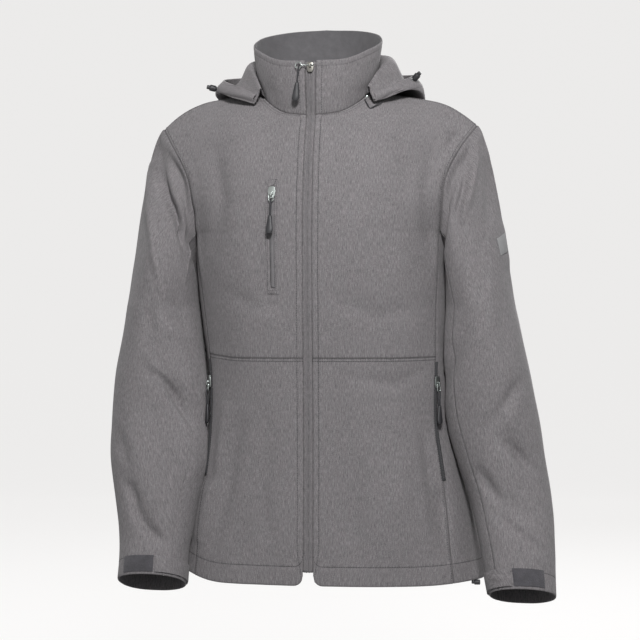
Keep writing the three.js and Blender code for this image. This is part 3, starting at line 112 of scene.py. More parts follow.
HOOD_SEAM_UP, HOOD_SLACK = 0.06, 9.0
COLLAR_BELLY = 2.5
FACING_TURN, FACING_WALL = 10.1, 1.2
ZIP_BOTTOM_Z, ZIP_TOP_Z = -668.0, 41.0
# Lines of topstitching, in millimetres from the edge that they follow.
HEM_BAND, CUFF_BAND = 26.0, 24.0
ZIP_STITCH, YOKE_STITCH, SEAM_STITCH, COLLAR_STITCH, RIM_STITCH = 7.5, 4.2, 3.0, 7.0, 20.0


def lerp(a: Array | float, b: Array | float, t: Array | float) -> Array | float:
    """Gives the value a share t of the way from a to b."""
    return a + (b - a) * t


def ramp(low: float, high: float, value: Array | float) -> Array:
    """Rises evenly from 0 at low to 1 at high."""
    return np.clip((np.asarray(value, float) - low) / (high - low), 0, 1)


def smooth(low: float, high: float, value: Array | float) -> Array:
    """Rises softly from 0 at low to 1 at high."""
    t = ramp(low, high, value)
    return t * t * (3 - 2 * t)


def bell(value: Array) -> Array:
    """Falls softly from 1 at 0 towards 0 on both sides."""
    return np.exp(-(value**2))


def power(value: Array, exponent: float) -> Array:
    """Raises the size of a signed value to a power and keeps its sign."""
    return np.sign(value) * np.abs(value) ** exponent


def grid(*values: Array | float) -> list[Array]:
    """Spreads values over one shape."""
    return np.broadcast_arrays(*(np.asarray(value, float) for value in values))


def stack(x: Array | float, y: Array | float, z: Array | float) -> Array:
    """Joins coordinates of any matching shapes into points."""
    return np.stack(grid(x, y, z), -1)


def unit(vectors: Array) -> Array:
    """Scales vectors to length 1."""
    return vectors / np.maximum(np.linalg.norm(vectors, axis=-1, keepdims=True), 1e-12)


def arc(count: int) -> Array:
    """Gives the angles of points spaced evenly round a circle."""
    return np.linspace(0, 2 * math.pi, count + 1)[:-1]


def hermite(keys: Array, values: Array, at: Array) -> Array:
    """Reads a smooth curve through knots.

    Args:
        keys: The knots' places, rising.
        values: The value at each knot, with the knots on the first axis.
        at: Where to read, in the shape of the result.

    Returns:
        The curve's value at each place.
    """
    at = np.asarray(at, float)
    last = len(keys) - 1
    i = np.searchsorted(keys[1:last], at, side="left")
    before, after = np.maximum(i - 1, 0), np.minimum(i + 2, last)

    def value(k: Array) -> Array:
        if values.ndim == 1:
            return values[k]
        return np.take_along_axis(values, k[None], 0)[0]

    span = keys[i + 1] - keys[i]
    t = np.clip((at - keys[i]) / span, 0, 1)
    m0 = (value(i + 1) - value(before)) / (keys[i + 1] - keys[before]) * span
    m1 = (value(after) - value(i)) / (keys[after] - keys[i]) * span
    t2, t3 = t * t, t * t * t
    curve = (2 * t3 - 3 * t2 + 1) * value(i) + (t3 - 2 * t2 + t) * m0
    return curve + (3 * t2 - 2 * t3) * value(i + 1) + (t3 - t2) * m1


class Table:
    """A short table with named columns, read smoothly between its rows."""

    def __init__(self, names: str, *rows: Sequence[float]) -> None:
        """Keeps the columns, sorted by the first one."""
        data = np.array(sorted(rows), float)
        self.columns = dict(zip(names.split(), data.T))
        self.keys = data[:, 0]

    def __call__(self, name: str, at: Array | float) -> Array:
        """Reads one column at any place of the first."""
        return hermite(self.keys, self.columns[name], np.asarray(at, float))


@dataclass(frozen=True)
class Fold:
    """A soft trough (depth below 0) or ridge along a line of two or more points."""

    points: tuple[tuple[float, float], ...]
    depth: float
    width: float
    face: int

    def lift(self, u: Array, v: Array, scale: float = 1.0) -> Array:
        """Gives how far the fold moves the cloth out at places (u, v).

        Args:
            u: Place across, in the units of the points.
            v: Place up.
            scale: Millimetres for each unit of u.

        Returns:
            The lift in millimetres, which fades towards both ends of the line.
        """
        nearest = np.full(np.broadcast(u, v).shape, np.inf)
        along = np.zeros_like(nearest)
        for i, ((u0, v0), (u1, v1)) in enumerate(zip(self.points, self.points[1:])):
            du, dv = (u1 - u0) * scale, v1 - v0
            pu, pv = (u - u0) * scale, v - v0
            t = np.clip((pu * du + pv * dv) / (du * du + dv * dv), 0, 1)
            away = np.hypot(pu - t * du, pv - t * dv)
            along = np.where(away < nearest, (i + t) / (len(self.points) - 1), along)
            nearest = np.minimum(away, nearest)
        return self.depth * bell(nearest / self.width) * (0.35 + 0.65 * np.sin(np.pi * along))


TRUNK = Table(
    "z right left front back",
    (-700, 211, 246, 121, 118), (-638, 196, 232, 120, 114), (-580, 182, 220, 119, 109),
    (-522, 169, 205, 118, 104), (-464, 161, 191, 119, 101), (-390, 161, 187, 122, 101),
    (-330, 168, 186, 126, 106), (-250, 176, 185, 130, 114), (-195, 178, 184, 130, 119),
    (-150, 178, 184, 127, 118), (-100, 178, 184, 118, 112), (-60, 178, 184, 105, 101),
    (-33, 178, 184, 92, 91), (0, 178, 184, 92, 77), (32.5, 178, 184, 92, 64),
)
PANEL_SEAMS = Table(
    "z front back",
    (-700, 0.57, 1.32), (-530, 0.66, 1.3), (-375, 0.73, 1.27), (-195, 0.8, 1.22),
)
ARMHOLES = {
    "front": ((0.25, 181, -62, -152), (0.5, 189, -61, -112), (0.76, 207, -43, -74), (1, 228, -8, -41)),
    "back": ((0.25, 184, 68, -150), (0.5, 196, 68, -108), (0.76, 214, 42, -68), (1, 228, -8, -41)),
}
SIDE_NAME = {-1: "right", 1: "left"}
SHOULDER_ARCH = {-1: 17.0, 1: 11.0}
HEM_RISE = {-1: 14.0, 1: 4.0}
RIGHT_ARMHOLE_NARROWER = 6.0
NECK = Table(
    "turn seam top wide deep",
    (0, -33, 42, 95, 83), (30, -27, 46, 95, 83), (60, -6, 64, 95, 83), (90, 15, 81, 95, 83),
    (120, 26, 97, 95, 83), (150, 31, 108, 95, 84), (180, 32.5, 112, 95, 85),
)
HOOD = Table(
    "turn crestR crestZ valleyR valleyZ foldR foldZ bellyR bellyZ rimR rimZ",
    (61, 88, 9, 90, 0, 97, -11, 99, -4, 95, 2),
    (76, 93, 34, 100, 14, 120, 1, 123, 7, 115, 14),
    (94, 101, 50, 119, 24, 150, 10, 152, 20, 141, 30),
    (114, 102, 62, 123, 29, 163, -14, 166, 12, 152, 40),
    (136, 98, 72, 131, 10, 172, -112, 184, -36, 153, 47),
    (158, 94, 78, 120, 6, 160, -182, 182, -76, 149, 52),
    (180, 93, 80, 117, 4, 152, -198, 175, -88, 147, 54),
)
HOOD_LINES = ("crest", "valley", "fold", "belly", "rim")
SLEEVES = {
    -1: Table(
        "z x y across deep tip",
        (-300, -228, -6, 55, 79, 0), (-348, -226, -14, 63, 74, 0), (-406, -223, -24, 73, 68, 3),
        (-464, -223, -36, 74, 62, 9), (-522, -222, -54, 73, 57, 15), (-580, -225, -70, 59, 52, 20),
        (-638, -225, -86, 50, 47, 23), (-688, -225, -103, 49, 43, 24),
    ),
    1: Table(
        "z x y across deep tip",
        (-300, 232, -6, 52, 79, 0), (-348, 235, -14, 59, 74, 0), (-406, 242, -20, 64, 68, 3),
        (-464, 250, -26, 67, 62, 9), (-522, 263, -34, 63, 57, 15), (-580, 277, -46, 57, 52, 20),
        (-638, 286, -74, 51, 47, 23), (-697, 294, -98, 46, 43, 22),
    ),
}
HEAD_FULLNESS = {-1: 12.0, 1: 9.0}


def folds(*rows: Sequence[float], face: int = 0) -> tuple[Fold, ...]:
    """Makes folds from rows of their points' coordinates, depth and width."""
    return tuple(Fold(tuple(zip(r[:-2:2], r[1:-2:2])), r[-2], r[-1], face) for r in rows)


# The main folds, which the solids carry too: angle round a sleeve or x on the trunk, and height.
SLEEVE_FOLDS = {
    -1: folds(
        (39, -97, 150, -200, -7, 13), (85, -150, 160, -235, -6, 11), (22, -110, 84, -290, 5, 16),
        (84, -385, 150, -475, -6, 12), (45, -545, 100, -635, -4, 11), (230, -330, 300, -440, -6, 15),
        (250, -180, 320, -260, -5, 16), (240, -470, 310, -540, -4, 14),
    ),
    1: folds(
        (70, -80, 116, -190, 5, 13), (30, -110, 80, -300, -5, 15), (110, -120, 150, -220, -6, 12),
        (98, -319, 165, -425, -6, 12), (50, -545, 95, -480, -5, 13), (60, -620, 110, -575, -4, 12),
        (230, -350, 300, -455, -6, 15), (245, -190, 315, -275, -5, 16),
    ),
}
TRUNK_FOLDS = folds(
    (168, -75, 120, -150, -5, 20), (-150, -80, -125, -170, -3, 20), (-135, -420, -165, -640, 4, 16),
    (150, -470, 185, -640, -5, 15), (120, -430, 135, -620, 4, 20), (45, -450, 60, -640, -3, 18),
    face=-1,
) + folds(
    (-60, -420, -85, -660, -5, 20), (75, -430, 110, -660, -5, 20), (10, -300, 20, -560, 4, 24),
    (150, -120, 90, -260, -4, 20), (-150, -120, -90, -260, -4, 20),
    face=1,
)


class JacketSurface:
    """The continuous surface that every cloth piece is cut from, in millimetres.

    A side is -1 for the wearer's right and 1 for the left.
    """

    def section(self, side: int, turn: Array, z: Array) -> Array:
        """Gives points of the trunk: turn 0 is centre front, 1 the side and 2 centre back."""
        turn, z = grid(turn, z)
        angle, around = turn * math.pi / 2, 2 / SQUARENESS
        wide = TRUNK(SIDE_NAME[side], z)
        deep = np.where(turn <= 1, TRUNK("front", z), TRUNK("back", z))
        return stack(
            side * wide * power(np.sin(angle), around), -deep * power(np.cos(angle), around), z
        )

    def hem(self, side: int, turn: Array) -> Array:
        """Gives the hem's height, a little higher at the sides."""
        return HEM_Z + HEM_RISE[side] * smooth(0.35, 0.8, np.minimum(turn, 2 - turn))

    def folded(self, point: Array) -> Array:
        """Moves trunk points in or out along the main folds."""
        x, y, z = np.moveaxis(point, -1, 0)
        lift = sum(smooth(8, 55, fold.face * y) * fold.lift(x, z) for fold in TRUNK_FOLDS)
        lift *= np.where(y < 0, smooth(0, 45, np.abs(x) - OPENING_HALF), 1)
        return point + unit(stack(x / 190**2, y / 120**2, 0)) * lift[..., None]

    def neck(self, turn: Array) -> Array:
        """Gives the neck seam; the turn is in degrees from centre front, signed by side."""
        a = np.radians(turn)
        return stack(
            NECK_WIDE * np.sin(a), NECK_Y - NECK_DEEP * np.cos(a), NECK("seam", np.abs(turn))
        )

    def collar(self, turn: Array, up: Array) -> Array:
        """Gives points of the collar between the neck seam and its top edge."""
        turn, up = grid(turn, up)
        around = np.where(turn > 180, turn - 360, turn)
        size, sin, cos = np.abs(around), np.sin(np.radians(turn)), np.cos(np.radians(turn))
        top = stack(NECK("wide", size) * sin, NECK_Y - NECK("deep", size) * cos, NECK("top", size))
        belly = COLLAR_BELLY * np.sin(np.pi * up)
        return lerp(self.neck(around), top, up[..., None]) + stack(belly * sin, -belly * cos, 0)

    def armhole_edge(self, side: int, half: str, rise: Array) -> Array:
        """Gives the armhole's front or back edge, from the side panel up to the shoulder tip."""
        foot = self.section(side, PANEL_SEAMS(half, UNDERARM_Z), UNDERARM_Z)
        table = Table("rise x y z", (0, abs(foot[0]), foot[1], foot[2]), *ARMHOLES[half])
        narrow = RIGHT_ARMHOLE_NARROWER * (1 - smooth(0.3, 1, rise)) if side < 0 else 0
        x = table("x", rise) - narrow * smooth(0, 0.2, rise)
        return stack(side * x, table("y", rise), table("z", rise))

    def yoke(
        self, side: int, half: str, along: Array, rise: Array, start: Array, first: Array
    ) -> Array:
        """Gives rows between the opening or neck and the armhole.

        Args:
            side: The side.
            half: "front" or "back".
            along: Share from the centre to the armhole.
            rise: 0 at the underarm and 1 along the shoulder.
            start: The rows' points at the centre or the neck.
            first: The trunk's turn at the centre of the underarm's row.

        Returns:
            The points.
        """
        end = self.armhole_edge(side, half, rise)
        last = PANEL_SEAMS(half, UNDERARM_Z)
        a, b, p = (
            self.section(side, lerp(first, last, share), UNDERARM_Z) for share in (0.0, 1.0, along)
        )
        straight = rise**1.6
        share_x, share_y = (
            lerp((p[..., i] - a[i]) / (b[i] - a[i]), along, straight) for i in (0, 1)
        )
        arch = SHOULDER_ARCH[side] * np.sin(np.pi * along**1.9) * rise**2
        x, y, z = (
            lerp(start[..., i], end[..., i], share)
            for i, share in enumerate((share_x, share_y, lerp(share_x, along, 0.5)))
        )
        return stack(x, y, z + arch)

    def centre_turn(self, side: int, half: str, z: Array) -> Array:
        """Gives the turn at which a half's centre edge lies."""
        wide = TRUNK(SIDE_NAME[side], z)
        opening = np.arcsin((OPENING_HALF / wide) ** (SQUARENESS / 2)) / (math.pi / 2)
        return opening if half == "front" else np.full_like(opening, 2.0)

    def half(self, side: int, half: str, across: Array, level: Array) -> Array:
        """Gives points of a front or of half the back.

        Args:
            side: The side.
            half: "front" or "back".
            across: 0 at the opening or centre back, 1 at the side panel and the armhole.
            level: 0 at the hem, 1 at the underarm and 2 at the shoulder.

        Returns:
            The points.
        """
        across, level = grid(across, level)
        at_front = half == "front"
        corner_level, neck_z, neck_turn = (
            (CHEST_CORNER, FRONT_NECK_Z, FRONT_TURN) if at_front else (BACK_CORNER, BACK_NECK_Z, 180)
        )
        low = np.minimum(level, 1)
        row = lerp(HEM_Z, UNDERARM_Z, low)
        turn = lerp(self.centre_turn(side, half, row), PANEL_SEAMS(half, row), across)
        below = self.section(side, turn, lerp(self.hem(side, turn), UNDERARM_Z, low))
        if at_front:
            inside = np.maximum(HEM_CORNER - (np.abs(below[..., 0]) - OPENING_HALF), 0)
            corner = HEM_CORNER - np.sqrt(np.maximum(HEM_CORNER**2 - inside**2, 0))
            below[..., 2] += corner * (1 - smooth(0, 0.12, low))
        rise = np.clip(level - 1, 0, 1)
        z = lerp(UNDERARM_Z, neck_z, np.minimum(rise / corner_level, 1))
        neck = self.neck(side * lerp(neck_turn, SHOULDER_TURN, ramp(corner_level, 1, rise)))
        edge = self.section(side, self.centre_turn(side, half, z), z)
        start = np.where((rise <= corner_level)[..., None], edge, neck)
        first = self.centre_turn(side, half, UNDERARM_Z)
        above = self.yoke(side, half, across, rise, start, first)
        return self.folded(np.where((level <= 1)[..., None], below, above))

    def side(self, side: int, across: Array, level: Array) -> Array:
        """Gives points of the side panel: across 0 is its front seam and 1 its back seam."""
        across, level = grid(across, level)
        row = lerp(HEM_Z, UNDERARM_Z, level)
        turn = lerp(PANEL_SEAMS("front", row), PANEL_SEAMS("back", row), across)
        top = UNDERARM_Z - UNDERARM_DIP * np.sin(np.pi * np.clip(across, 0, 1)) ** 1.3
        return self.folded(self.section(side, turn, lerp(self.hem(side, turn), top, level)))

    def armhole(self, side: int, around: Array) -> Array:
        """Gives the armhole as one round: down the front, under the arm and up the back."""
        around = np.asarray(around, float)
        front = self.half(side, "front", 1.0, 2 - np.minimum(around, FRONT_SHARE) / FRONT_SHARE)
        under = self.side(side, ramp(FRONT_SHARE, BACK_SHARE, around), 1.0)
        back = self.half(side, "back", 1.0, 1 + ramp(BACK_SHARE, 1, around))
        first, low = (around <= FRONT_SHARE)[..., None], (around < BACK_SHARE)[..., None]
        return np.where(first, front, np.where(low, under, back))

    def clear_of_trunk(self, side: int, point: Array, clearance: Array | float) -> Array:
        """Keeps a sleeve's points clear of the trunk beside them."""
        x, y, z = np.moveaxis(point, -1, 0)
        row = np.minimum(z, UNDERARM_Z)
        wide = TRUNK(SIDE_NAME[side], row) + clearance
        deep = np.where(y < 0, TRUNK("front", row), TRUNK("back", row)) + clearance
        share = np.minimum(np.abs(y / deep), 0.999) ** SQUARENESS
        pushed = side * wide * (1 - share) ** (1 / SQUARENESS)
        return stack(np.where(np.abs(x / wide) ** SQUARENESS + share < 1, pushed, x), y, z)

    def sleeve_lift(self, side: int, angle: Array, z: Array, girth: float) -> Array:
        """Adds up the main folds at an angle round a sleeve, a height and a mean half girth."""
        scale = girth * math.pi / 180
        return sum(
            fold.lift(angle - turned, z, scale) for fold in SLEEVE_FOLDS[side] for turned in (0, 360)
        )

    def ring(self, side: int, angle: Array, z: Array) -> Array:
        """Gives points of a sleeve's ring at a height."""
        x, y, wide, thick, tip = (SLEEVES[side](n, z) for n in ("x", "y", "across", "deep", "tip"))
        tip, a = np.radians(tip), np.radians(angle)
        lift = self.sleeve_lift(side, angle, z, float(np.mean([wide, thick])))
        across = power(np.cos(a), SLEEVE_ROUNDNESS) * (wide + lift)
        deep = power(np.sin(a), SLEEVE_ROUNDNESS) * (thick + lift)
        point = stack(x + side * across, y - deep * np.cos(tip), z + deep * np.sin(tip))
        return self.clear_of_trunk(side, point, SLEEVE_CLEARANCE)

    def sleeve(self, side: int, around: Array, along: Array) -> Array:
        """Gives points of a sleeve: around as on the armhole, along 0 armhole to 1 cuff."""
        around, along = grid(around, along)
        around = np.where(around > 1, around - 1, around)
        first, last = SLEEVES[side].keys[[-1, 0]]
        angle = np.interp(
            around, (0, FRONT_SHARE, BACK_SHARE, 1), (0, FRONT_ANGLE, BACK_ANGLE, 360)
        )
        lower = self.ring(side, angle, lerp(first, last, ramp(HEAD_SHARE, 1, along)))
        blend = np.clip(along / HEAD_SHARE, 0, 1)
        top = self.ring(side, angle, first + 0 * angle)
        point = lerp(self.armhole(side, around), top, blend[..., None])
        a, full = np.radians(angle), HEAD_FULLNESS[side]
        out = np.maximum(np.cos(a), 0) ** 0.7 * np.sin(np.pi * blend**0.6)
        point[..., 0] += side * full * out
        point[..., 1] -= full * 0.5 * np.sin(a) * np.sin(np.pi * blend)
        lift = self.sleeve_lift(side, angle, point[..., 2], HEAD_GIRTH)
        lift *= smooth(0, 0.6, blend) * (1 - smooth(0.75, 1, blend))
        point[..., 0] += side * np.cos(a) * lift
        point[..., 1] -= np.sin(a) * lift
        cleared = self.clear_of_trunk(side, point, SLEEVE_CLEARANCE * smooth(0, 0.3, blend))
        upper = np.where((blend > 0)[..., None], cleared, point)
        return np.where((along < HEAD_SHARE)[..., None], upper, lower)

    def hood(self, turn: Array, across: Array) -> Array:
        """Gives points of the hood: across 0 is its neck seam and 1 the rim."""
        turn, across = grid(turn, across)
        around = np.where(turn > 180, turn - 360, turn)
        size, a = np.abs(around), np.radians(turn)
        out, base = stack(np.sin(a), -np.cos(a), 0), stack(0, NECK_Y, 0)
        seam = self.collar(around, HOOD_SEAM_UP) + out * (SHELL_WALL + LAYER_GAP)
        seam_r, seam_z = np.hypot(seam[..., 0], seam[..., 1] - NECK_Y), seam[..., 2]
        radii, heights = (
            np.stack([first] + [HOOD(line + column, size) for line in HOOD_LINES])
            for first, column in ((seam_r, "R"), (seam_z, "Z"))
        )
        keys = np.linspace(0, 1, len(radii))
        slack = HOOD_SLACK * smooth(66, 90, around) * (1 - smooth(100, 130, around))
        r = hermite(keys, radii, across) - slack * smooth(0.3, 0.7, across)
        polar, start = (
            base + out * radius[..., None] + stack(0, 0, z)
            for radius, z in ((r, hermite(keys, heights, across)), (seam_r, seam_z))
        )
        return polar + (seam - start) * (1 - smooth(0, 0.2, across))[..., None]


CUT = JacketSurface()

# Where the rows and columns of the cloth lie beside an edge and a seam, in millimetres from it.
NEAR_EDGE = (0.0, 0.8, 1.8, 3.0, 4.4, 6.0, 7.6, 9.6, 12.6)
NEAR_STITCHES = (-3, -1.4, 0, 1.4, 3)
STITCH_CLEARANCE = 3.2
CLOTH_STEP = 4.0
# How much farther the edge of a seam counts as lying where the shade painted in its groove is paler.
SEWN_PALER, FAINT_PALER, ARMHOLE_PALER = 0.35, 1.1, 1.6
ARMHOLE_PALE_FROM, ARMHOLE_PALE_TO = -90, -150
# The depth and half width of the grooves, and the share of the wall that they reach at most.
GROOVES = {"seam": (0.7, 1.5), "faint": (0.3, 1.5), "free": (0.5, 1.0), "stitch": (0.45, 1.3)}
DEEPEST = 0.75
# How the stitches pucker the cloth along their line: least, swing and length.
PUCKER = (0.75, 0.25, 2.1)
# How far a turned-in edge bulges, as a share of the wall.
ROLLED = 0.4
# The least share of width times length that a cut may fill, and the spare that keeps it from there.
CUT_FILL, CUT_SPARE = 0.34, 1.06


def stations(
    start: float, stop: float, length: float, near: tuple[bool, bool] = (True, True),
    sewn: tuple[float, ...] = (),
) -> Array:
    """Spaces the lines of a cloth piece, closer beside its seams.

    Args:
        start: The parameter at one end.
        stop: The parameter at the other end.
        length: The usual length between them, in millimetres.
        near: Whether lines gather at each end.
        sewn: Where topstitching runs, from the start, or from the end where it is below 0.

    Returns:
        The parameters of the lines.
    """
    head, tail = (np.array(NEAR_EDGE if gather else NEAR_EDGE[:1]) for gather in near)
    tail = length - tail[::-1]
    count = max(round((tail[0] - head[-1]) / CLOTH_STEP), 1)
    middle = np.linspace(head[-1], tail[0], count + 1)[1:-1]
    for line in sewn:
        middle = middle[np.abs(middle - line % length) > STITCH_CLEARANCE]
        middle = np.concatenate([middle, line % length + np.array(NEAR_STITCHES)])
    return lerp(start, stop, np.sort(np.concatenate([head, middle, tail])) / length)


class Edge(Enum):
    """What an edge of a cloth piece is."""

    SEAM = "sewn to its neighbour"
    FREE = "turned in and pressed"


def edges_of(kinds: str) -> dict[str, Edge]:
    """Reads the kinds of a piece's edges u0, u1, v0 and v1, from a word for each."""
    return {edge: Edge[kind.upper()] for edge, kind in zip(("u0", "u1", "v0", "v1"), kinds.split())}


@dataclass
class Waves:
    """Slow random swells that keep a filled-out cloth from looking pressed."""

    seed: int
    length: float
    height: float
    stretch: float = 0.5
    count: int = 9

    def __post_init__(self) -> None:
        """Draws the swells' directions and phases."""
        rng = np.random.default_rng(self.seed)
        turns = unit(rng.normal(size=(self.count, 3)))
        turns[:, 2] *= self.stretch
        scale = rng.uniform(0.7, 1.5, (self.count, 1)) * self.length
        self.vectors = turns * 2 * math.pi / scale
        self.phases = rng.uniform(0, 2 * math.pi, self.count)

    def __call__(self, points: Array) -> Array:
        """Gives the swell's height at points, in millimetres."""
        angles = points @ self.vectors.T + self.phases
        return self.height * np.sin(angles).sum(-1) / math.sqrt(self.count)


SWELL = Waves(seed=11, length=120, height=1.5)
RIPPLE = Waves(seed=23, length=34, height=0.3)


@dataclass
class Calm:
    """The places where a trim is sewn on, round which the cloth keeps to its solid's form."""

    boxes: list[tuple[Array, Array]] = field(default_factory=list)

    def add(self, node: str) -> None:
        """Keeps the cloth calm round a solid."""
        low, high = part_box(node)
        self.boxes.append((np.array(low) / MM, np.array(high) / MM))

    def __call__(self, points: Array) -> Array:
        """Gives the share of the creases that is left at points."""
        share = np.ones(points.shape[:-1])
        for low, high in self.boxes:
            away = np.linalg.norm(np.maximum(np.maximum(low - points, points - high), 0), axis=-1)
            share *= smooth(3, 24, away)
        return share


CALM = Calm()


@dataclass(frozen=True)
class Tuck:
    """A soft trough or ridge that follows an edge of a piece over part of its height."""

    edge: str
    away: float
    height: float
    width: float
    low: float = -290.0
    high: float = -60.0

    def lift(self, panel: "Panel") -> Array:
        """Gives the tuck's lift on the front half of a piece, in millimetres."""
        _, y, z = np.moveaxis(panel.base, -1, 0)
        part = smooth(self.low, self.low + 70, z) * (1 - smooth(self.high - 50, self.high, z))
        across = bell((panel.away[self.edge] - self.away) / self.width)
        return self.height * part * smooth(0, 30, -y) * across


@dataclass(frozen=True)
class Look:
    """Creases laid out as they are seen from one side, in millimetres in the shoulders' plane."""

    turn: float
    distance: float = 2500.0
    eye: float = -319.0

    def place(self, points: Array) -> tuple[Array, Array]:
        """Gives where points are seen: across and up."""
        a, (x, y, z) = math.radians(self.turn), np.moveaxis(points, -1, 0)
        near = 1 - (x * math.sin(a) - y * math.cos(a)) / self.distance
        return (x * math.cos(a) + y * math.sin(a)) / near, self.eye + (z - self.eye) / near

    def facing(self, normals: Array) -> Array:
        """Gives how far the cloth faces the eye, from 0 to 1."""
        a = math.radians(self.turn)
        return smooth(0.03, 0.45, normals[..., 0] * math.sin(a) - normals[..., 1] * math.cos(a))


FRONT_LOOK, BACK_LOOK = Look(8.0), Look(188.0)


def swells(points: Array) -> Array:
    """Gives the random swells of the whole garment, fading out beside the front zip."""
    fade = smooth(4, 45, np.abs(points[..., 0]) - OPENING_HALF)
    fade = np.where(points[..., 1] < -50, fade, 1)
    return fade * (SWELL(points) + RIPPLE(points))


@dataclass
class Row:
    """A line on a piece of cloth: its points, and which way is out at each."""

    points: Array
    ups: Array

    def run(self) -> Array:
        """Gives the direction in which the line runs at each point."""
        return unit(np.gradient(self.points, axis=0))

    def cross(self) -> Array:
        """Gives the direction across the line, along the cloth."""
        return unit(np.cross(self.ups, self.run()))

    def moved(self, aside: float, out: float = 0) -> "Row":
        """Gives the line moved sideways along the cloth and out of it."""
        return Row(self.points + self.cross() * aside + self.ups * out, self.ups)


@dataclass
class Panel:
    """A cloth piece: its surface, its lines, what its edges are and where it is topstitched.

    Each entry of fade names an edge that the creases fade out at, how near, how far and from which
    level up. Seams in faint get a shallower groove and paler painted shade.
    """

    name: str
    surface: Surface
    us: Array
    vs: Array
    flipped: bool
    edges: dict[str, Edge]
    stitched: dict[str, float]
    part: str
    fade: tuple[tuple[str, float, float, float], ...] = ()
    tucks: tuple[Tuck, ...] = ()
    wall: float = SHELL_WALL
    below: float = 0.0
    grain_column: int = 0
    upright_grain: bool = False
    even_grain: bool = False
    armhole: str = ""
    faint: tuple[str, ...] = ()

    def __post_init__(self) -> None:
        """Works out the points, the outward directions and the distances from the edges."""
        self.base = self.surface(self.us[:, None], self.vs[None, :])
        across, along = (np.gradient(self.base, axis=axis) for axis in (0, 1))
        self.normals = unit(np.cross(across, along)) * (-1 if self.flipped else 1)
        u0, v0 = (
            np.insert(np.linalg.norm(np.diff(self.base, axis=axis), axis=-1).cumsum(axis), 0, 0, axis)
            for axis in (0, 1)
        )
        self.away = {"u0": u0, "u1": u0[-1] - u0, "v0": v0, "v1": v0[:, -1:] - v0}
        self.outer = self.inner = self.base

    def border(self) -> list[tuple[int, int]]:
        """Lists the border's places in order round the piece."""
        nu, nv = len(self.us), len(self.vs)
        loop = [(i, 0) for i in range(nu - 1)] + [(nu - 1, j) for j in range(nv - 1)]
        return loop + [(i, nv - 1) for i in range(nu - 1, 0, -1)] + [(0, j) for j in range(nv - 1, 0, -1)]

    def creases(self) -> Array:
        """Adds up the lifts of the part's creases, in millimetres."""
        total = np.zeros(self.base.shape[:-1])
        for (part, look), rows in CREASES.items():
            if part == self.part:
                across, up = look.place(self.base)
                facing = look.facing(self.normals) * CREASE_DEPTH[part.split("_")[0]]
                total += facing * sum(fold.lift(across, up) for fold in rows)
        for edge, near, far, level in self.fade:
            total *= np.where(self.vs[None, :] >= level, smooth(near, far, self.away[edge]), 1)
        return total

    def shape(self) -> None:
        """Lays the creases, swells, rolled seams and stitch lines on the surface."""
        lift = swells(self.base) + self.creases() + sum(tuck.lift(self) for tuck in self.tucks)
        lift = lift * CALM(self.base)
        dip = np.zeros_like(lift)
        for edge, kind in self.edges.items():
            depth, reach = GROOVES["faint" if edge in self.faint else kind.name.lower()]
            dip += depth * bell(self.away[edge] / reach)
        depth, reach = GROOVES["stitch"]
        least, swing, length = PUCKER
        for edge, offset in self.stitched.items():
            pucker = least + swing * np.sin(self.away["v0" if edge[0] == "u" else "u0"] / length)
            dip += depth * pucker * bell((self.away[edge] - offset) / reach)
        lift -= self.below
        self.outer = self.base + self.normals * (lift - np.minimum(dip, self.wall * DEEPEST))[..., None]
        self.inner = self.base + self.normals * (lift - self.wall)[..., None]

    def line(self, edge: str, offset: float, start: float = -9, stop: float = 9) -> "Row":
        """Follows an edge at a distance from it, as a row that stitches can be laid on.

        Args:
            edge: Which edge, such as "u0".
            offset: The distance inside it, in millimetres.
            start: The piece's own parameter along the edge where the line starts.
            stop: The parameter where it stops.

        Returns:
            The line's points with the cloth's outward directions.
        """
        arrays = [self.away[edge][..., None], self.outer, self.normals]
        if edge[0] == "v":
            arrays = [array.swapaxes(0, 1) for array in arrays]
        if edge[1] == "1":
            arrays = [array[::-1] for array in arrays]
        keys = self.vs if edge[0] == "u" else self.us
        kept = [j for j, key in enumerate(keys) if start <= key <= stop]
        away = arrays[0][..., 0]
        found, up = (
            np.array([[np.interp(offset, away[:, j], array[:, j, c]) for c in range(3)] for j in kept])
            for array in arrays[1:]
        )
        return Row(found, unit(up))

    def _kind_at(self, i: int, j: int) -> Edge:
        """Gives the kind of the edge that a border place lies on."""
        if j == 0:
            return self.edges["v0"]
        if i == len(self.us) - 1:
            return self.edges["u1"]
        return self.edges["v1" if j == len(self.vs) - 1 else "u0"]

    def _grain(self) -> Array:
        """Gives the cloth's grain at each place, as metres across and along."""
        u0 = self.away["u0"]
        wale = u0 - u0[self.grain_column]
        if self.upright_grain:
            level = int(np.argmin(np.abs(self.vs - 1)))
            side = np.abs(self.base[..., 0])
            order = np.argsort(side[:, level])
            upright = np.interp(side, side[order, level], np.abs(wale)[order, level])
            upright += np.maximum(side - side[:, level].max(), 0)
            sign = np.sign(wale[:, level : level + 1] + 1e-9)
            wale = np.where(self.vs > 1, upright * sign, wale)
        if self.even_grain:
            wale = np.broadcast_to(wale.mean(axis=1, keepdims=True), wale.shape)
        return np.stack([wale, self.away["v0"]], -1).reshape(-1, 2) * MM

    def _seam_shade(self) -> Array:
        """Gives each place's distance from the nearest seam or line of stitches, in metres, which sets where
        shade is painted along them.
        """
        pale = ARMHOLE_PALER * (1 - smooth(ARMHOLE_PALE_TO, ARMHOLE_PALE_FROM, self.base[..., 2]))
        seams = [
            self.away[edge] + (pale if edge == self.armhole else FAINT_PALER * (edge in self.faint))
            for edge, kind in self.edges.items() if kind is Edge.SEAM
        ]
        seams += [np.abs(self.away[edge] - offset) + SEWN_PALER for edge, offset in self.stitched.items()]
        return np.min(seams, 0).ravel() * MM

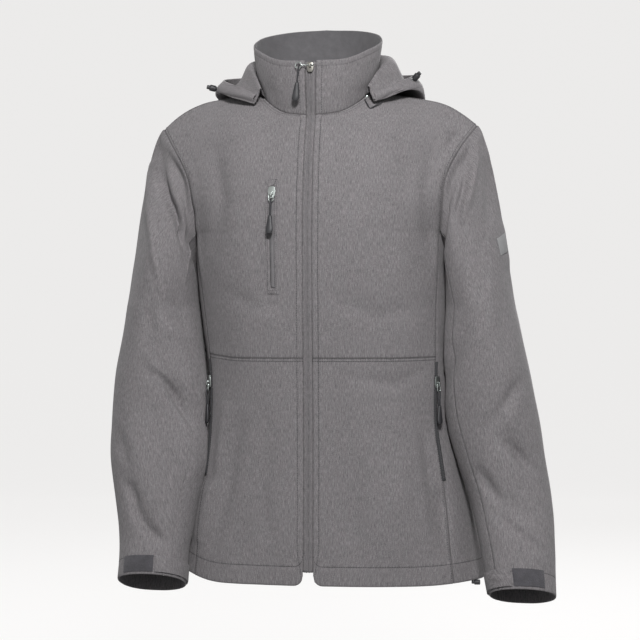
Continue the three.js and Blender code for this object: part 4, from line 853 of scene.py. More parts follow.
    def mesh(self) -> Mesh:
        """Makes the closed thin shell, with its grain as a UV map and its distance from the seams, which sets
        their painted shade, as an attribute.
        """
        nu, nv = len(self.us), len(self.vs)
        count, border = nu * nv, self.border()
        ring = np.array([i * nv + j for i, j in border])
        outer, inner = self.outer.reshape(-1, 3), self.inner.reshape(-1, 3)
        inside = [min(max(i, 1), nu - 2) * nv + min(max(j, 1), nv - 2) for i, j in border]
        base = self.base.reshape(-1, 3)
        rolled = [ROLLED * (self._kind_at(i, j) is Edge.FREE) * self.wall for i, j in border]
        middle = (outer[ring] + inner[ring]) / 2
        middle += unit(base[ring] - base[inside]) * np.array(rolled)[:, None]
        i, j = np.meshgrid(np.arange(nu - 1), np.arange(nv - 1), indexing="ij")
        a = (i * nv + j).ravel()
        quads = np.stack([a, a + nv, a + nv + 1, a + 1], 1)
        mids = 2 * count + np.arange(len(ring))
        after, mids_after = np.roll(ring, -1), np.roll(mids, -1)
        faces = np.concatenate([
            quads, quads[:, ::-1] + count, np.stack([ring, mids, mids_after, after], 1),
            np.stack([mids, ring + count, after + count, mids_after], 1),
        ])
        if self.flipped:
            faces = faces[:, ::-1]
        mesh = bpy.data.meshes.new(self.name)
        mesh.from_pydata((np.concatenate([outer, inner, middle]) * MM).tolist(), [], faces.tolist())
        grain, seam = (
            np.concatenate([v, v, v[ring]]).astype(np.float32) for v in (self._grain(), self._seam_shade())
        )
        loops = np.zeros(len(mesh.loops), np.int32)
        mesh.loops.foreach_get("vertex_index", loops)
        mesh.uv_layers.new(name="grain").data.foreach_set("uv", grain[loops].ravel())
        mesh.attributes.new("seam", "FLOAT", "POINT").data.foreach_set("value", seam)
        slots = np.zeros(len(faces), np.int32)
        slots[len(quads) : 2 * len(quads)] = 1
        mesh.polygons.foreach_set("material_index", slots)
        mesh.polygons.foreach_set("use_smooth", np.ones(len(faces), bool))
        mesh.validate()
        mesh.update()
        return mesh

    def cut(self) -> tuple[float, float, float]:
        """Measures the piece laid flat, in metres: its width, length and area when cut."""
        b = self.base
        cell = np.linalg.norm(np.cross(b[1:, 1:] - b[:-1, :-1], b[:-1, 1:] - b[1:, :-1]), axis=-1)
        area = cell.sum() / 2 * MM * MM
        length = self.away["v0"][:, -1].max() * MM
        width = min(self.away["u0"][-1].max() * MM, area / (CUT_FILL * length))
        spare = max(1.0, math.sqrt(CUT_SPARE * area / (width * length)))
        return width * spare, length * spare, area


def meet_at_seams(panels: Sequence[Panel]) -> None:
    """Gives pieces that share a seam the same outward direction along it."""
    shared: dict[tuple[int, ...], Array] = {}
    places = []
    for panel in panels:
        for at in panel.border():
            key = tuple(np.round(panel.base[at] * 20).astype(int))
            places.append((panel, at, key))
            shared[key] = shared.get(key, 0) + panel.normals[at]
    for panel, at, key in places:
        panel.normals[at] = unit(shared[key])


class Tree:
    """A small helper that places and links the nodes of one node tree."""

    def __init__(self, tree: NodeTree) -> None:
        """Starts on an empty tree."""
        self.tree = tree
        tree.nodes.clear()

    def node(self, kind: str, **settings: object) -> Node:
        """Adds a node and sets its properties."""
        made = self.tree.nodes.new(kind)
        for name, value in settings.items():
            setattr(made, name, value)
        return made

    def link(self, source: object, target: object) -> None:
        """Links an output to an input, or sets the input where the source is a plain value."""
        if isinstance(source, NodeSocket):
            self.tree.links.new(source, target)
        else:
            target.default_value = source

    def fed(self, kind: str, inputs: dict[str | int, object], **settings: object) -> bpy.types.NodeOutputs:
        """Adds a node, feeds its inputs by name or number and gives its outputs."""
        made = self.node(kind, **settings)
        for key, value in inputs.items():
            self.link(value, made.inputs[key])
        return made.outputs

    def maths(self, operation: str, *values: object) -> NodeSocket:
        """Adds a Math node and gives its output."""
        return self.fed("ShaderNodeMath", dict(enumerate(values)), operation=operation)[0]

    def sway(self, value: object, amount: object, around: object = 0.5) -> NodeSocket:
        """Swings round a value by an amount, as a pattern swings round its middle."""
        return self.maths("MULTIPLY_ADD", self.maths("SUBTRACT", value, 0.5), amount, around)

    def noise(self, vector: object, factors: Sequence[float] | None = None, detail: float = 2.0,
              rough: float = 0.55) -> NodeSocket:
        """Adds a noise pattern on a vector, multiplied by any factors, and gives its value."""
        if factors:
            vector = self.fed("ShaderNodeVectorMath", {0: vector, 1: factors}, operation="MULTIPLY")[0]
        inputs = {"Scale": 1.0, "Detail": detail, "Roughness": rough, "Vector": vector}
        return self.fed("ShaderNodeTexNoise", inputs)["Fac"]

    def mix(self, share: object, a: object, b: object, kind: str = "MIX") -> NodeSocket:
        """Mixes two colours."""
        inputs = {"Factor": share, "A": a, "B": b}
        return self.fed("ShaderNodeMix", inputs, data_type="RGBA", blend_type=kind)["Result"]


class EffectGroup:
    """A shared shader effect, kept once as a node group with named sockets."""

    def __init__(self, name: str, inputs: dict[str, object], outputs: dict[str, str]) -> None:
        """Makes the group and its sockets.

        Args:
            name: The group's name.
            inputs: Each input's first value: a number, or a tuple for a colour or vector.
            outputs: Each output's kind of socket.
        """
        self.group = bpy.data.node_groups.new(name, "ShaderNodeTree")
        for socket, value in inputs.items():
            size = len(value) if isinstance(value, tuple) else 1
            kind = {1: "NodeSocketFloat", 3: "NodeSocketVector", 4: "NodeSocketColor"}[size]
            made = self.group.interface.new_socket(socket, in_out="INPUT", socket_type=kind)
            made.default_value = value
        for socket, kind in outputs.items():
            self.group.interface.new_socket(socket, in_out="OUTPUT", socket_type=f"NodeSocket{kind}")
        self.tree = Tree(self.group)
        self.inside = self.tree.node("NodeGroupInput").outputs
        self.result = self.tree.node("NodeGroupOutput").inputs

    def place(self, tree: Tree, **values: object) -> bpy.types.NodeOutputs:
        """Puts the group in a material with its own values and gives its outputs."""
        return tree.fed("ShaderNodeGroup", values, node_tree=self.group)


class Effects:
    """The effects that several finishes share."""

    # How wide and long each layer of yarn runs in metres, its detail, its roughness and its weight.
    yarns = {
        "streak": (0.0008, 0.0062, 3, 0.6, 2.0), "slub": (0.0016, 0.018, 2, 0.55, 0.8),
        "speck": (0.0007, 0.0014, 1, 0.55, 1.1), "cloud": (0.05, 0.09, 1, 0.55, 0.14),
    }

    def __init__(self) -> None:
        """Builds each effect once."""
        self.heather, self.seam, self.grain = self._heather(), self._seam_shade(), self._grain()

    def _heather(self) -> EffectGroup:
        """Mixes dark and light yarns in streaks that run along the grain."""
        made = EffectGroup(
            "heather yarns",
            {"Grain": (0.0, 0.0, 0.0), "Dark": (0, 0, 0, 1), "Light": (1, 1, 1, 1), "Tint": (1, 1, 1, 1),
             "Contrast": 1.0},
            {"Color": "Color", "Height": "Float"},
        )
        t, given = made.tree, made.inside
        layers, total = {}, 0.5
        for name, (width, length, detail, rough, weight) in self.yarns.items():
            layers[name] = t.noise(given["Grain"], (1 / width, 1 / length, 1), detail, rough)
            total = t.sway(layers[name], weight, total)
        share = t.maths("MINIMUM", t.maths("MAXIMUM", t.sway(total, given["Contrast"]), 0.0), 1.0)
        colour = t.mix(share, given["Dark"], given["Light"])
        hue = t.maths("MULTIPLY", t.noise(given["Grain"], (1 / 0.006, 1 / 0.03, 1), 1), 0.7)
        tinted = t.mix(hue, colour, t.mix(1.0, colour, given["Tint"], "MULTIPLY"))
        t.link(tinted, made.result["Color"])
        speck = t.maths("MULTIPLY", layers["speck"], 0.5)
        t.link(t.maths("MULTIPLY_ADD", layers["streak"], 0.5, speck), made.result["Height"])
        return made

    def _seam_shade(self) -> EffectGroup:
        """Paints shade into the groove of a seam, and gives its mask."""
        made = EffectGroup(
            "seam groove",
            {"Distance": 0.0, "Color": (1, 1, 1, 1), "Reach": 0.001, "Depth": 0.5},
            {"Color": "Color", "Mask": "Float"},
        )
        t, given = made.tree, made.inside
        share = t.maths("DIVIDE", given["Distance"], given["Reach"])
        mask = t.maths("EXPONENT", t.maths("MULTIPLY", t.maths("MULTIPLY", share, share), -1.0))
        # Painted shade: the colour is mixed towards black by the mask times Depth, darkest on the seam line.
        dark = t.mix(t.maths("MULTIPLY", mask, given["Depth"]), given["Color"], (0.0, 0.0, 0.0, 1))
        t.link(dark, made.result["Color"])
        t.link(mask, made.result["Mask"])
        return made

    def _grain(self) -> EffectGroup:
        """Gives a fine even grain in colour and height, for moulded, metal and knitted pieces."""
        made = EffectGroup(
            "fine grain",
            {"Vector": (0.0, 0.0, 0.0), "Scale": 2500.0, "Color": (1, 1, 1, 1), "Amount": 0.2},
            {"Color": "Color", "Height": "Float"},
        )
        t, given = made.tree, made.inside
        place = {0: given["Vector"], "Scale": given["Scale"]}
        value = t.noise(t.fed("ShaderNodeVectorMath", place, operation="SCALE")[0])
        shade = t.sway(value, given["Amount"], 1.0)
        shade = t.sway(t.noise(given["Vector"], (90, 90, 90)), given["Amount"], shade)
        grey = t.fed("ShaderNodeCombineXYZ", {axis: shade for axis in "XYZ"})[0]
        t.link(t.mix(1.0, given["Color"], grey, "MULTIPLY"), made.result["Color"])
        t.link(value, made.result["Height"])
        return made


Colour = tuple[float, float, float]


@dataclass(frozen=True)
class Finish:
    """A finish: its name, its slot in the record and its main values."""

    name: str
    slot: str
    colour: Colour
    roughness: float = 0.8
    metallic: float = 0.0
    sheen: float = 0.0
    bump: float = 0.2
    relief: float = 0.0002
    scale: float = 2500.0
    amount: float = 0.25

    def material(self, effects: Effects) -> Material:
        """Builds the finish as a material."""
        made = bpy.data.materials.new(self.name)
        made.use_nodes = True
        tree = Tree(made.node_tree)
        colour, height = self.pattern(tree, effects)
        bump = tree.fed(
            "ShaderNodeBump", {"Strength": self.bump, "Distance": self.relief, "Height": height}
        )
        shader = tree.fed("ShaderNodeBsdfPrincipled", {
            "Base Color": colour, "Roughness": self.roughness, "Metallic": self.metallic,
            "Sheen Weight": self.sheen, "Sheen Roughness": 0.6, "Normal": bump[0],
        })
        tree.fed("ShaderNodeOutputMaterial", {"Surface": shader[0]})
        return made

    def pattern(self, tree: Tree, effects: Effects) -> tuple[object, object]:
        """Gives the colour and the height that the finish shows."""
        place = tree.node("ShaderNodeTexCoord").outputs["Object"]
        out = effects.grain.place(
            tree, Vector=place, Scale=self.scale, Color=(*self.colour, 1), Amount=self.amount
        )
        return out["Color"], out["Height"]


@dataclass(frozen=True)
class HeatherCloth(Finish):
    """The streaked softshell cloth, whose grain is the piece's own UV map where it is mapped."""

    light: Colour = (0.3, 0.288, 0.294)
    tint: Colour = (1.06, 0.98, 1.0)
    contrast: float = 0.85
    mapped: bool = True

    def pattern(self, tree: Tree, effects: Effects) -> tuple[object, object]:
        """Gives the yarns' colour with shade painted into the seam grooves, and their height."""
        if self.mapped:
            grain = tree.node("ShaderNodeUVMap", uv_map="grain").outputs[0]
        else:
            place = tree.node("ShaderNodeTexCoord").outputs["Object"]
            x, y, z = tree.fed("ShaderNodeSeparateXYZ", {0: place})
            grain = tree.fed("ShaderNodeCombineXYZ", {"X": tree.maths("ADD", x, y), "Y": z})[0]
        yarn = effects.heather.place(
            tree, Grain=grain, Dark=(*self.colour, 1), Light=(*self.light, 1), Tint=(*self.tint, 1),
            Contrast=self.contrast,
        )
        if not self.mapped:
            return yarn["Color"], yarn["Height"]
        # The seam attribute is the distance from the seams and stitch lines; the shade painted into their
        # grooves fades with it.
        away = tree.node("ShaderNodeAttribute", attribute_name="seam").outputs["Fac"]
        seam = effects.seam.place(tree, Distance=away, Color=yarn["Color"])
        return seam["Color"], yarn["Height"]


class Wardrobe:
    """Every finish of the jacket, made once."""

    def __init__(self) -> None:
        """Builds the materials and keeps each one's slot."""
        cloth = {
            "colour": (0.078, 0.0755, 0.079), "roughness": 0.92, "sheen": 0.1, "bump": 0.35,
            "relief": 0.00025,
        }
        tape = {"roughness": 0.9, "bump": 0.4, "scale": 1800}
        plated = {"metallic": 1.0, "bump": 0.08, "amount": 0.2}
        finishes = {
            "shell": HeatherCloth("heather softshell", "softshell", **cloth),
            "trim": HeatherCloth("heather trim", "softshell", **cloth, mapped=False),
            "band": HeatherCloth("heather zip band", "zip_tape", **cloth, light=(0.26, 0.25, 0.255),
                                 mapped=False),
            "facing": Finish("dark facing knit", "collar_facing", (0.12, 0.116, 0.122), 0.95, sheen=0.1,
                             bump=0.4, relief=0.0003, scale=1500, amount=0.5),
            "tape": Finish("zip tape", "zip_tape", (0.165, 0.158, 0.164), **tape, amount=0.6),
            "dark tape": Finish("dark zip tape", "zip_tape", (0.04, 0.04, 0.043), **tape, amount=0.5),
            "coil": Finish("zip coil", "zip_tape", (0.08, 0.08, 0.084), 0.5, bump=0.1, amount=0.2),
            "thread": Finish("sewing thread", "softshell", (0.045, 0.045, 0.048), 0.75, amount=0.4),
            "loop": Finish("loop pile", "loop_tape", (0.07, 0.067, 0.076), 1.0, sheen=0.2, bump=1.0,
                           relief=0.0008, scale=900, amount=0.9),
            "metal": Finish("plated zinc", "zip_metal", (0.3, 0.325, 0.315), 0.34, **plated),
            "gunmetal": Finish("dark plated zinc", "zip_metal", (0.17, 0.165, 0.15), 0.38, **plated),
            "rubber": Finish("moulded rubber", "dark_rubber", (0.018, 0.018, 0.021), 0.5, bump=0.15,
                             amount=0.3),
            "cord": Finish("braided cord", "cord", (0.03, 0.03, 0.034), 0.75, bump=0.6, relief=0.0003,
                           scale=1400, amount=0.5),
            "label": Finish("woven tab", "woven_tab", (0.3, 0.3, 0.305), 0.85, bump=0.5, scale=1600,
                            amount=0.3),
        }
        effects = Effects()
        self.slots = {key: finish.slot for key, finish in finishes.items()}
        self.materials = {key: finish.material(effects) for key, finish in finishes.items()}

    def dress(self, piece: Object, *keys: str) -> None:
        """Gives a piece its materials."""
        piece.data.materials.clear()
        for key in keys:
            piece.data.materials.append(self.materials[key])


def add_object(name: str, data: bpy.types.ID) -> Object:
    """Adds an object that shows some data."""
    made = bpy.data.objects.new(name, data)
    bpy.context.scene.collection.objects.link(made)
    return made


def place_piece(name: str, mesh: Mesh, body: str = "root") -> Object:
    """Links a mesh as a piece at the origin and lets it ride on a body."""
    piece = add_object(name, mesh)
    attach(piece, body)
    return piece


def tube_faces(rings: int, count: int) -> list[tuple[int, ...]]:
    """Lists the faces between rings of points, and then the face over each end."""
    faces = [
        (i * count + j, i * count + (j + 1) % count, (i + 1) * count + (j + 1) % count, (i + 1) * count + j)
        for i in range(rings - 1) for j in range(count)
    ]
    return faces + [tuple(range(count)), tuple((rings - 1) * count + j for j in range(count))]


def closed_mesh(name: str, points: Array, rings: int) -> Mesh:
    """Makes a closed mesh from rings of points in millimetres, with its faces turned outwards."""
    points = np.asarray(points).reshape(-1, 3)
    mesh = bpy.data.meshes.new(name)
    mesh.from_pydata((points * MM).tolist(), [], tube_faces(rings, len(points) // rings))
    work = bmesh.new()
    work.from_mesh(mesh)
    bmesh.ops.recalc_face_normals(work, faces=work.faces)
    work.to_mesh(mesh)
    work.free()
    smooth_faces(mesh)
    return mesh


def smooth_faces(mesh: Mesh) -> None:
    """Shades every face of a mesh smooth."""
    mesh.polygons.foreach_set("use_smooth", [True] * len(mesh.polygons))


def sweep(name: str, row: Row, profile: Array, droop: Array | float = 0.0) -> Mesh:
    """Draws a closed profile along a line.

    Args:
        name: The mesh's name.
        row: The line that it follows.
        profile: The profile's points across the line and out of the cloth, in order round it.
        droop: How far each ring's points sink for each square millimetre that they lie aside.

    Returns:
        The closed mesh.
    """
    across, out = np.array(profile).T
    out = out - np.broadcast_to(droop, len(row.points))[:, None] * across**2
    points = row.points[:, None] + row.cross()[:, None] * across[:, None]
    return closed_mesh(name, points + row.ups[:, None] * out[..., None], len(row.points))


def bvh_of(mesh: Mesh) -> BVHTree:
    """Prepares a mesh for ray casts."""
    return BVHTree.FromPolygons([v.co for v in mesh.vertices], [list(p.vertices) for p in mesh.polygons])


def settle(row: Row, solid: Object, lifted: float = 0.0) -> Row:
    """Moves a line inwards onto a solid's face, and leaves out what misses it."""
    tree = bvh_of(solid.data)
    hits = [tree.ray_cast(Vector((p + up * 40) * MM), Vector(-up)) for p, up in zip(row.points, row.ups)]
    points, ups = (np.array([hit[i] for hit in hits if hit[0] is not None]) for i in (0, 1))
    return Row(points / MM + ups * lifted, ups)


def along_front(corners: Sequence[tuple[float, float]], step: float = 2.0) -> Row:
    """Draws a line through places across and up, in front of the jacket and facing it."""
    spots = []
    for (x0, z0), (x1, z1) in zip(corners, corners[1:]):
        count = max(int(math.hypot(x1 - x0, z1 - z0) / step), 1)
        spots += [(lerp(x0, x1, k / count), lerp(z0, z1, k / count)) for k in range(count)]
    x, z = np.array(spots + [corners[-1]], float).T
    return Row(stack(x, -180, z), stack(0 * x, -1, 0 * x))


class SmallParts:
    """Rows of small equal parts, such as stitches or zip teeth, laid by Geometry Nodes."""

    def __init__(self) -> None:
        """Builds the node tree once."""
        self.tree = bpy.data.node_groups.new("row of small parts", "GeometryNodeTree")
        face = self.tree.interface
        kinds = {"Geometry": "Geometry", "Pitch": "Float", "Size": "Vector", "Material": "Material"}
        self.sockets = {
            name: face.new_socket(name, in_out="INPUT", socket_type=f"NodeSocket{kind}").identifier
            for name, kind in kinds.items()
        }
        face.new_socket("Geometry", in_out="OUTPUT", socket_type="NodeSocketGeometry")
        t = Tree(self.tree)
        given = t.node("NodeGroupInput").outputs
        curve = t.fed("GeometryNodeMeshToCurve", {"Mesh": given["Geometry"]})[0]
        spacing = {"Curve": curve, "Length": given["Pitch"]}
        spaced = t.fed("GeometryNodeResampleCurve", spacing, mode="LENGTH")
        turn = self._turned(t, "Z", {"Vector": "up"})
        turn = self._turned(t, "X", {"Vector": "aim", "Rotation": turn}, pivot_axis="Z")
        bead = t.fed("GeometryNodeMeshUVSphere", {"Segments": 6, "Rings": 4, "Radius": 0.5})["Mesh"]
        laid = t.fed("GeometryNodeInstanceOnPoints", {
            "Points": spaced[0], "Instance": bead, "Rotation": turn, "Scale": given["Size"],
        })
        real = t.fed("GeometryNodeRealizeInstances", {0: laid[0]})[0]
        painted = t.fed("GeometryNodeSetMaterial", {"Geometry": real, "Material": given["Material"]})
        t.fed("NodeGroupOutput", {"Geometry": painted[0]})

    def _turned(
        self, t: Tree, axis: str, inputs: dict[str, object], **settings: str
    ) -> NodeSocket:
        """Turns an axis towards a direction that the line's points carry under a name."""
        name = {"Name": inputs["Vector"]}
        aim = t.fed("GeometryNodeInputNamedAttribute", name, data_type="FLOAT_VECTOR")
        inputs["Vector"] = aim["Attribute"]
        return t.fed("FunctionNodeAlignRotationToVector", inputs, axis=axis, **settings)[0]

    def lay(
        self, name: str, rows: Sequence[Row], across: bool, pitch: float, size: tuple[float, float, float],
        material: Material, slot: str,
    ) -> None:
        """Lays small parts along rows, as one piece.

        Args:
            name: The piece's name.
            rows: The lines.
            across: True where the parts lie across the line, as teeth do.
            pitch: Their distance along it, in millimetres.
            size: Each part's length, width and height, in millimetres.
            material: Their material.
            slot: The material's slot in the record; not used.
        """
        points = np.concatenate([row.points for row in rows])
        starts = np.cumsum([0] + [len(row.points) for row in rows])
        edges = [(i, i + 1) for a, b in zip(starts, starts[1:]) for i in range(a, b - 1)]
        mesh = bpy.data.meshes.new(name)
        mesh.from_pydata((points * MM).tolist(), edges, [])
        aims = np.concatenate([row.cross() if across else row.run() for row in rows])
        for key, value in {"aim": aims, "up": np.concatenate([row.ups for row in rows])}.items():
            mesh.attributes.new(key, "FLOAT_VECTOR", "POINT").data.foreach_set("vector", value.ravel())
        draft = add_object(f"{name}_lines", mesh)
        modifier = draft.modifiers.new("rows", "NODES")
        modifier.node_group = self.tree
        modifier[self.sockets["Pitch"]] = pitch * MM
        modifier[self.sockets["Size"]] = [value * MM for value in size]
        modifier[self.sockets["Material"]] = material
        graph = bpy.context.evaluated_depsgraph_get()
        made = bpy.data.meshes.new_from_object(draft.evaluated_get(graph), depsgraph=graph)
        bpy.data.objects.remove(draft)
        smooth_faces(made)
        LOG.info("%s: %d faces", name, len(made.polygons))
        place_piece(name, made)


CREASE_DEPTH = {"sleeve": 2.4, "trunk": 1.9, "collar": 1.1, "hood": 1.2}

# Creases as they are seen from the front and from behind: points across and up, depth and width.
CREASES = {
    ("sleeve_right", FRONT_LOOK): folds(
        (-237, -52, -226, -141, -186, -203, -4, 7), (-240, -102, -208, -174, -184, -236, -3.5, 6),
        (-222, -74, -205, -104, -186, -141, -2, 6), (-246, -96, -247, -162, -240, -229, -226, -283, 3, 6),
        (-233, -397, -208, -432, -182, -477, -4.5, 5), (-246, -380, -217, -412, 2, 7),
        (-273, -560, -266, -596, -241, -638, -3, 6), (-292, -478, -278, -536, -2, 9),
        (-260, -609, -220, -650, -2.5, 7), (-246, -290, -249, -355, -2, 10),
        (-214, -120, -208, -200, -200, -330, -2.6, 19), (-226, -325, -196, -352, 2, 9),
    ),
    ("sleeve_left", FRONT_LOOK): folds(
        (229, -45, 227, -59, 223, -94, 218, -133, 205, -174, 3.2, 6), (243, -91, 247, -145, 246, -193, -3, 8),
        (220, -74, 210, -133, 196, -167, -3.2, 6), (276, -500, 305, -536, -3, 8),
        (262, -606, 291, -629, 323, -655, -3, 7), (291, -406, 250, -471, -2.5, 9),
        (262, -276, 273, -362, -1.8, 10), (230, -536, 259, -580, -2.5, 8),
        (200, -120, 204, -200, 200, -330, -2.4, 17), (262, -440, 284, -482, 2, 8),
    ),
    ("trunk", FRONT_LOOK): folds(
        (207, -41, 194, -55, 182, -71, -2.6, 6), (170, -58, 153, -130, 157, -203, -2.4, 10),
        (114, -51, 124, -116, -1.6, 11), (-136, -444, -153, -536, -174, -637, 2.6, 8),
        (-115, -464, -131, -551, -152, -645, -2.2, 9), (157, -493, 175, -580, 185, -660, -2.4, 9),
        (134, -471, 146, -551, 157, -650, 2.2, 10), (-141, -276, -94, -299, -43, -290, -1.2, 13),
        (22, -290, 88, -313, 153, -297, -1.4, 14), (47, -478, 56, -580, 47, -667, -1.6, 13),
        (-75, -478, -83, -580, -75, -660, -1.5, 12), (-152, -72, -141, -145, -156, -218, -1.8, 10),
        (37, -87, 47, -174, -1.2, 12), (44, -403, 105, -412, 153, -394, -1.3, 9),
    ),
    ("collar", FRONT_LOOK): folds(
        (-75, 23, -67, 1, -1.8, 5), (54, 14, 75, 17, -1.6, 5), (15, 41, 21, -6, -0.8, 9),
        (-49, 44, -53, -6, -0.8, 8),
    ),
    ("hood", FRONT_LOOK): folds(
        (-142, 7, -112, 1, -82, -9, -2, 4), (-104, 34, -86, 4, -1.8, 5), (-128, 20, -100, 16, 1.4, 5),
        (132, 24, 104, 8, 80, -8, -2, 4), (96, 44, 106, 14, -1.6, 5), (112, 34, 134, 12, 1.4, 6),
    ),
    ("hood", BACK_LOOK): folds(
        (-96, 20, -60, -30, -30, -90, -2.4, 9), (92, 10, 64, -50, 40, -100, -2.2, 9),
        (-40, 30, 4, 22, 48, 32, -1.8, 9), (-18, -120, -26, -60, 1.8, 9),
    ),
    ("sleeve_left", BACK_LOOK): folds(
        (-236, -90, -222, -160, -190, -215, -3.6, 7), (-243, -150, -212, -205, -188, -262, -2.8, 7),
        (-252, -130, -254, -200, -246, -262, 2.4, 8), (-290, -372, -250, -396, -214, -388, -3.8, 6),
        (-296, -430, -262, -450, -226, -438, -3, 7), (-318, -560, -292, -600, -262, -610, -2.8, 8),
    ),
    ("sleeve_right", BACK_LOOK): folds(
        (226, -80, 214, -150, 186, -212, -3.2, 7), (238, -160, 206, -226, 184, -254, -2.8, 6),
        (240, -110, 244, -190, 234, -250, 2.6, 8), (262, -402, 226, -420, 196, -408, -4, 6),
        (270, -452, 236, -470, 200, -452, -2.6, 8), (286, -590, 256, -612, 226, -606, -2.6, 8),
    ),
    ("trunk", BACK_LOOK): folds(
        (-150, -90, -120, -150, -126, -214, -2.6, 9), (148, -96, 124, -160, 134, -230, -2.4, 9),
        (-140, -330, -70, -352, 4, -344, -1.8, 12), (146, -352, 84, -366, 26, -380, -1.6, 13),
        (-72, -430, -84, -540, -72, -650, -2.2, 11), (44, -470, 54, -570, 46, -668, -2, 12),
        (118, -440, 132, -560, 142, -660, 2.2, 10), (-128, -480, -148, -580, -156, -664, -2, 10),
        (-30, -60, 30, -68, -1.2, 10),
    ),
    ("collar", BACK_LOOK): folds((-30, 60, -34, 96, -0.9, 8), (34, 64, 40, 98, -0.8, 8)),
}


@dataclass
class Cloth:
    """The cloth panels, shaped and made together."""

    wardrobe: Wardrobe
    panels: dict[str, Panel]

    # What each piece is sewn to and hangs from.
    carried_by = {
        "front_lower": ("front_upper_{hand}",), "front_upper": ("collar_outer", "back"),
        "side_panel": ("front_upper_{hand}", "back"), "sleeve_top": ("front_upper_{hand}", "back"),
        "sleeve_under": ("side_panel_{hand}",), "back": ("collar_outer",), "collar_outer": ("collar_facing",),
        "hood_side": ("collar_outer",), "hood_centre": ("hood_side_left", "hood_side_right"),
    }

    def make(self) -> None:
        """Shapes each panel and adds it to the scene as a sheet in place of its solid."""
        for node, panel in self.panels.items():
            panel.shape()
            piece = place_piece(panel.name, panel.mesh())
            self.wardrobe.dress(piece, "facing" if node == "collar_facing" else "shell", "facing")
            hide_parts(node)
            kind, hand = node.removesuffix("_left").removesuffix("_right"), node.rsplit("_", 1)[-1]
            names = [f"{name.format(hand=hand)}_cloth" for name in self.carried_by.get(kind, ())]
            width, length, area = panel.cut()
            faces = len(piece.data.polygons)
            LOG.info("%s: %.3f by %.3f m, %.4f m2, %d faces", panel.name, width, length, area, faces)


LEVEL_POCKET = (POCKET_SEAM_Z - HEM_Z) / (UNDERARM_Z - HEM_Z)
LOW_LEVELS = stations(0, LEVEL_POCKET, 314, sewn=(HEM_BAND,))
MIDDLE_LEVELS = stations(LEVEL_POCKET, 1, 177, (True, False))
CHEST_LEVELS = stations(1, 2, 215)
BODY_LEVELS = np.concatenate([LOW_LEVELS, MIDDLE_LEVELS[1:]])
UPPER_LEVELS = np.concatenate([MIDDLE_LEVELS, CHEST_LEVELS[1:]])
ALL_LEVELS = np.concatenate([BODY_LEVELS, CHEST_LEVELS[1:]])


def make_panels(rows: dict[str, tuple]) -> dict[str, Panel]:
    """Makes panels from each one's surface, lines, side, kinds of edge, stitches, part and options."""
    return {
        node: Panel(f"{node}_cloth", surface, us, vs, flipped, edges_of(kinds), stitched, part, **more)
        for node, (surface, us, vs, flipped, kinds, stitched, part, more) in rows.items()
    }


def body_panels(side: int, hand: str) -> dict[str, Panel]:
    """Lays out one side's fronts, side panel and sleeve."""
    columns, side_shares, lengths = (
        stations(0, 1, 185), stations(0, 1, 95), stations(0, 1, 640, sewn=(-CUFF_BAND,))
    )
    front, sleeve = partial(CUT.half, side, "front"), partial(CUT.sleeve, side)
    back_part = BACK_SHARE + (CHEST_LEVELS - 1) * (1 - BACK_SHARE)
    front_part = 1 + (2 - CHEST_LEVELS[::-1]) * FRONT_SHARE
    flip, by_zip = side < 0, ("u0", 2, 26, 0)
    arm = {"fade": (("v0", 0, 14, 0),), "tucks": (Tuck("v0", 15.0, -8.0, 11.0),), "armhole": "v0"}
    return make_panels({
        f"front_lower_{hand}": (
            front, columns, LOW_LEVELS, flip, "free seam free seam",
            {"u0": ZIP_STITCH, "v0": HEM_BAND, "v1": YOKE_STITCH}, "trunk", {"fade": (by_zip,)},
        ),
        f"front_upper_{hand}": (
            front, columns, UPPER_LEVELS, flip, "free seam seam seam", {"u0": ZIP_STITCH}, "trunk",
            {"fade": (by_zip, ("u1", 0, 12, 1), ("v1", 0, 10, 1)), "upright_grain": True, "armhole": "u1",
             "tucks": (Tuck("u1", 9.0, 2.4, 7.0, high=-80),)},
        ),
        f"side_panel_{hand}": (
            partial(CUT.side, side), side_shares, BODY_LEVELS, flip, "seam seam free seam",
            {"v0": HEM_BAND}, "trunk", {},
        ),
        f"sleeve_top_{hand}": (
            sleeve, np.concatenate([back_part, front_part[1:]]), lengths, flip, "seam seam seam free",
            {"v1": CUFF_BAND}, f"sleeve_{hand}",
            {**arm, "grain_column": len(back_part) - 1, "faint": ("u1",) if flip else ()},
        ),
        f"sleeve_under_{hand}": (
            sleeve, lerp(FRONT_SHARE, BACK_SHARE, side_shares), lengths, flip, "seam seam seam free",
            {"v1": CUFF_BAND}, f"sleeve_{hand}", {**arm, "faint": ("u0",) if flip else ()},
        ),
    })


def whole_back(across: Array, level: Array) -> Array:
    """Gives points of the back, with across below 0 on the wearer's right."""
    across, level = grid(across, level)
    right, left = (CUT.half(side, "back", np.abs(across), level) for side in (-1, 1))
    return np.where((across < 0)[..., None], right, left)


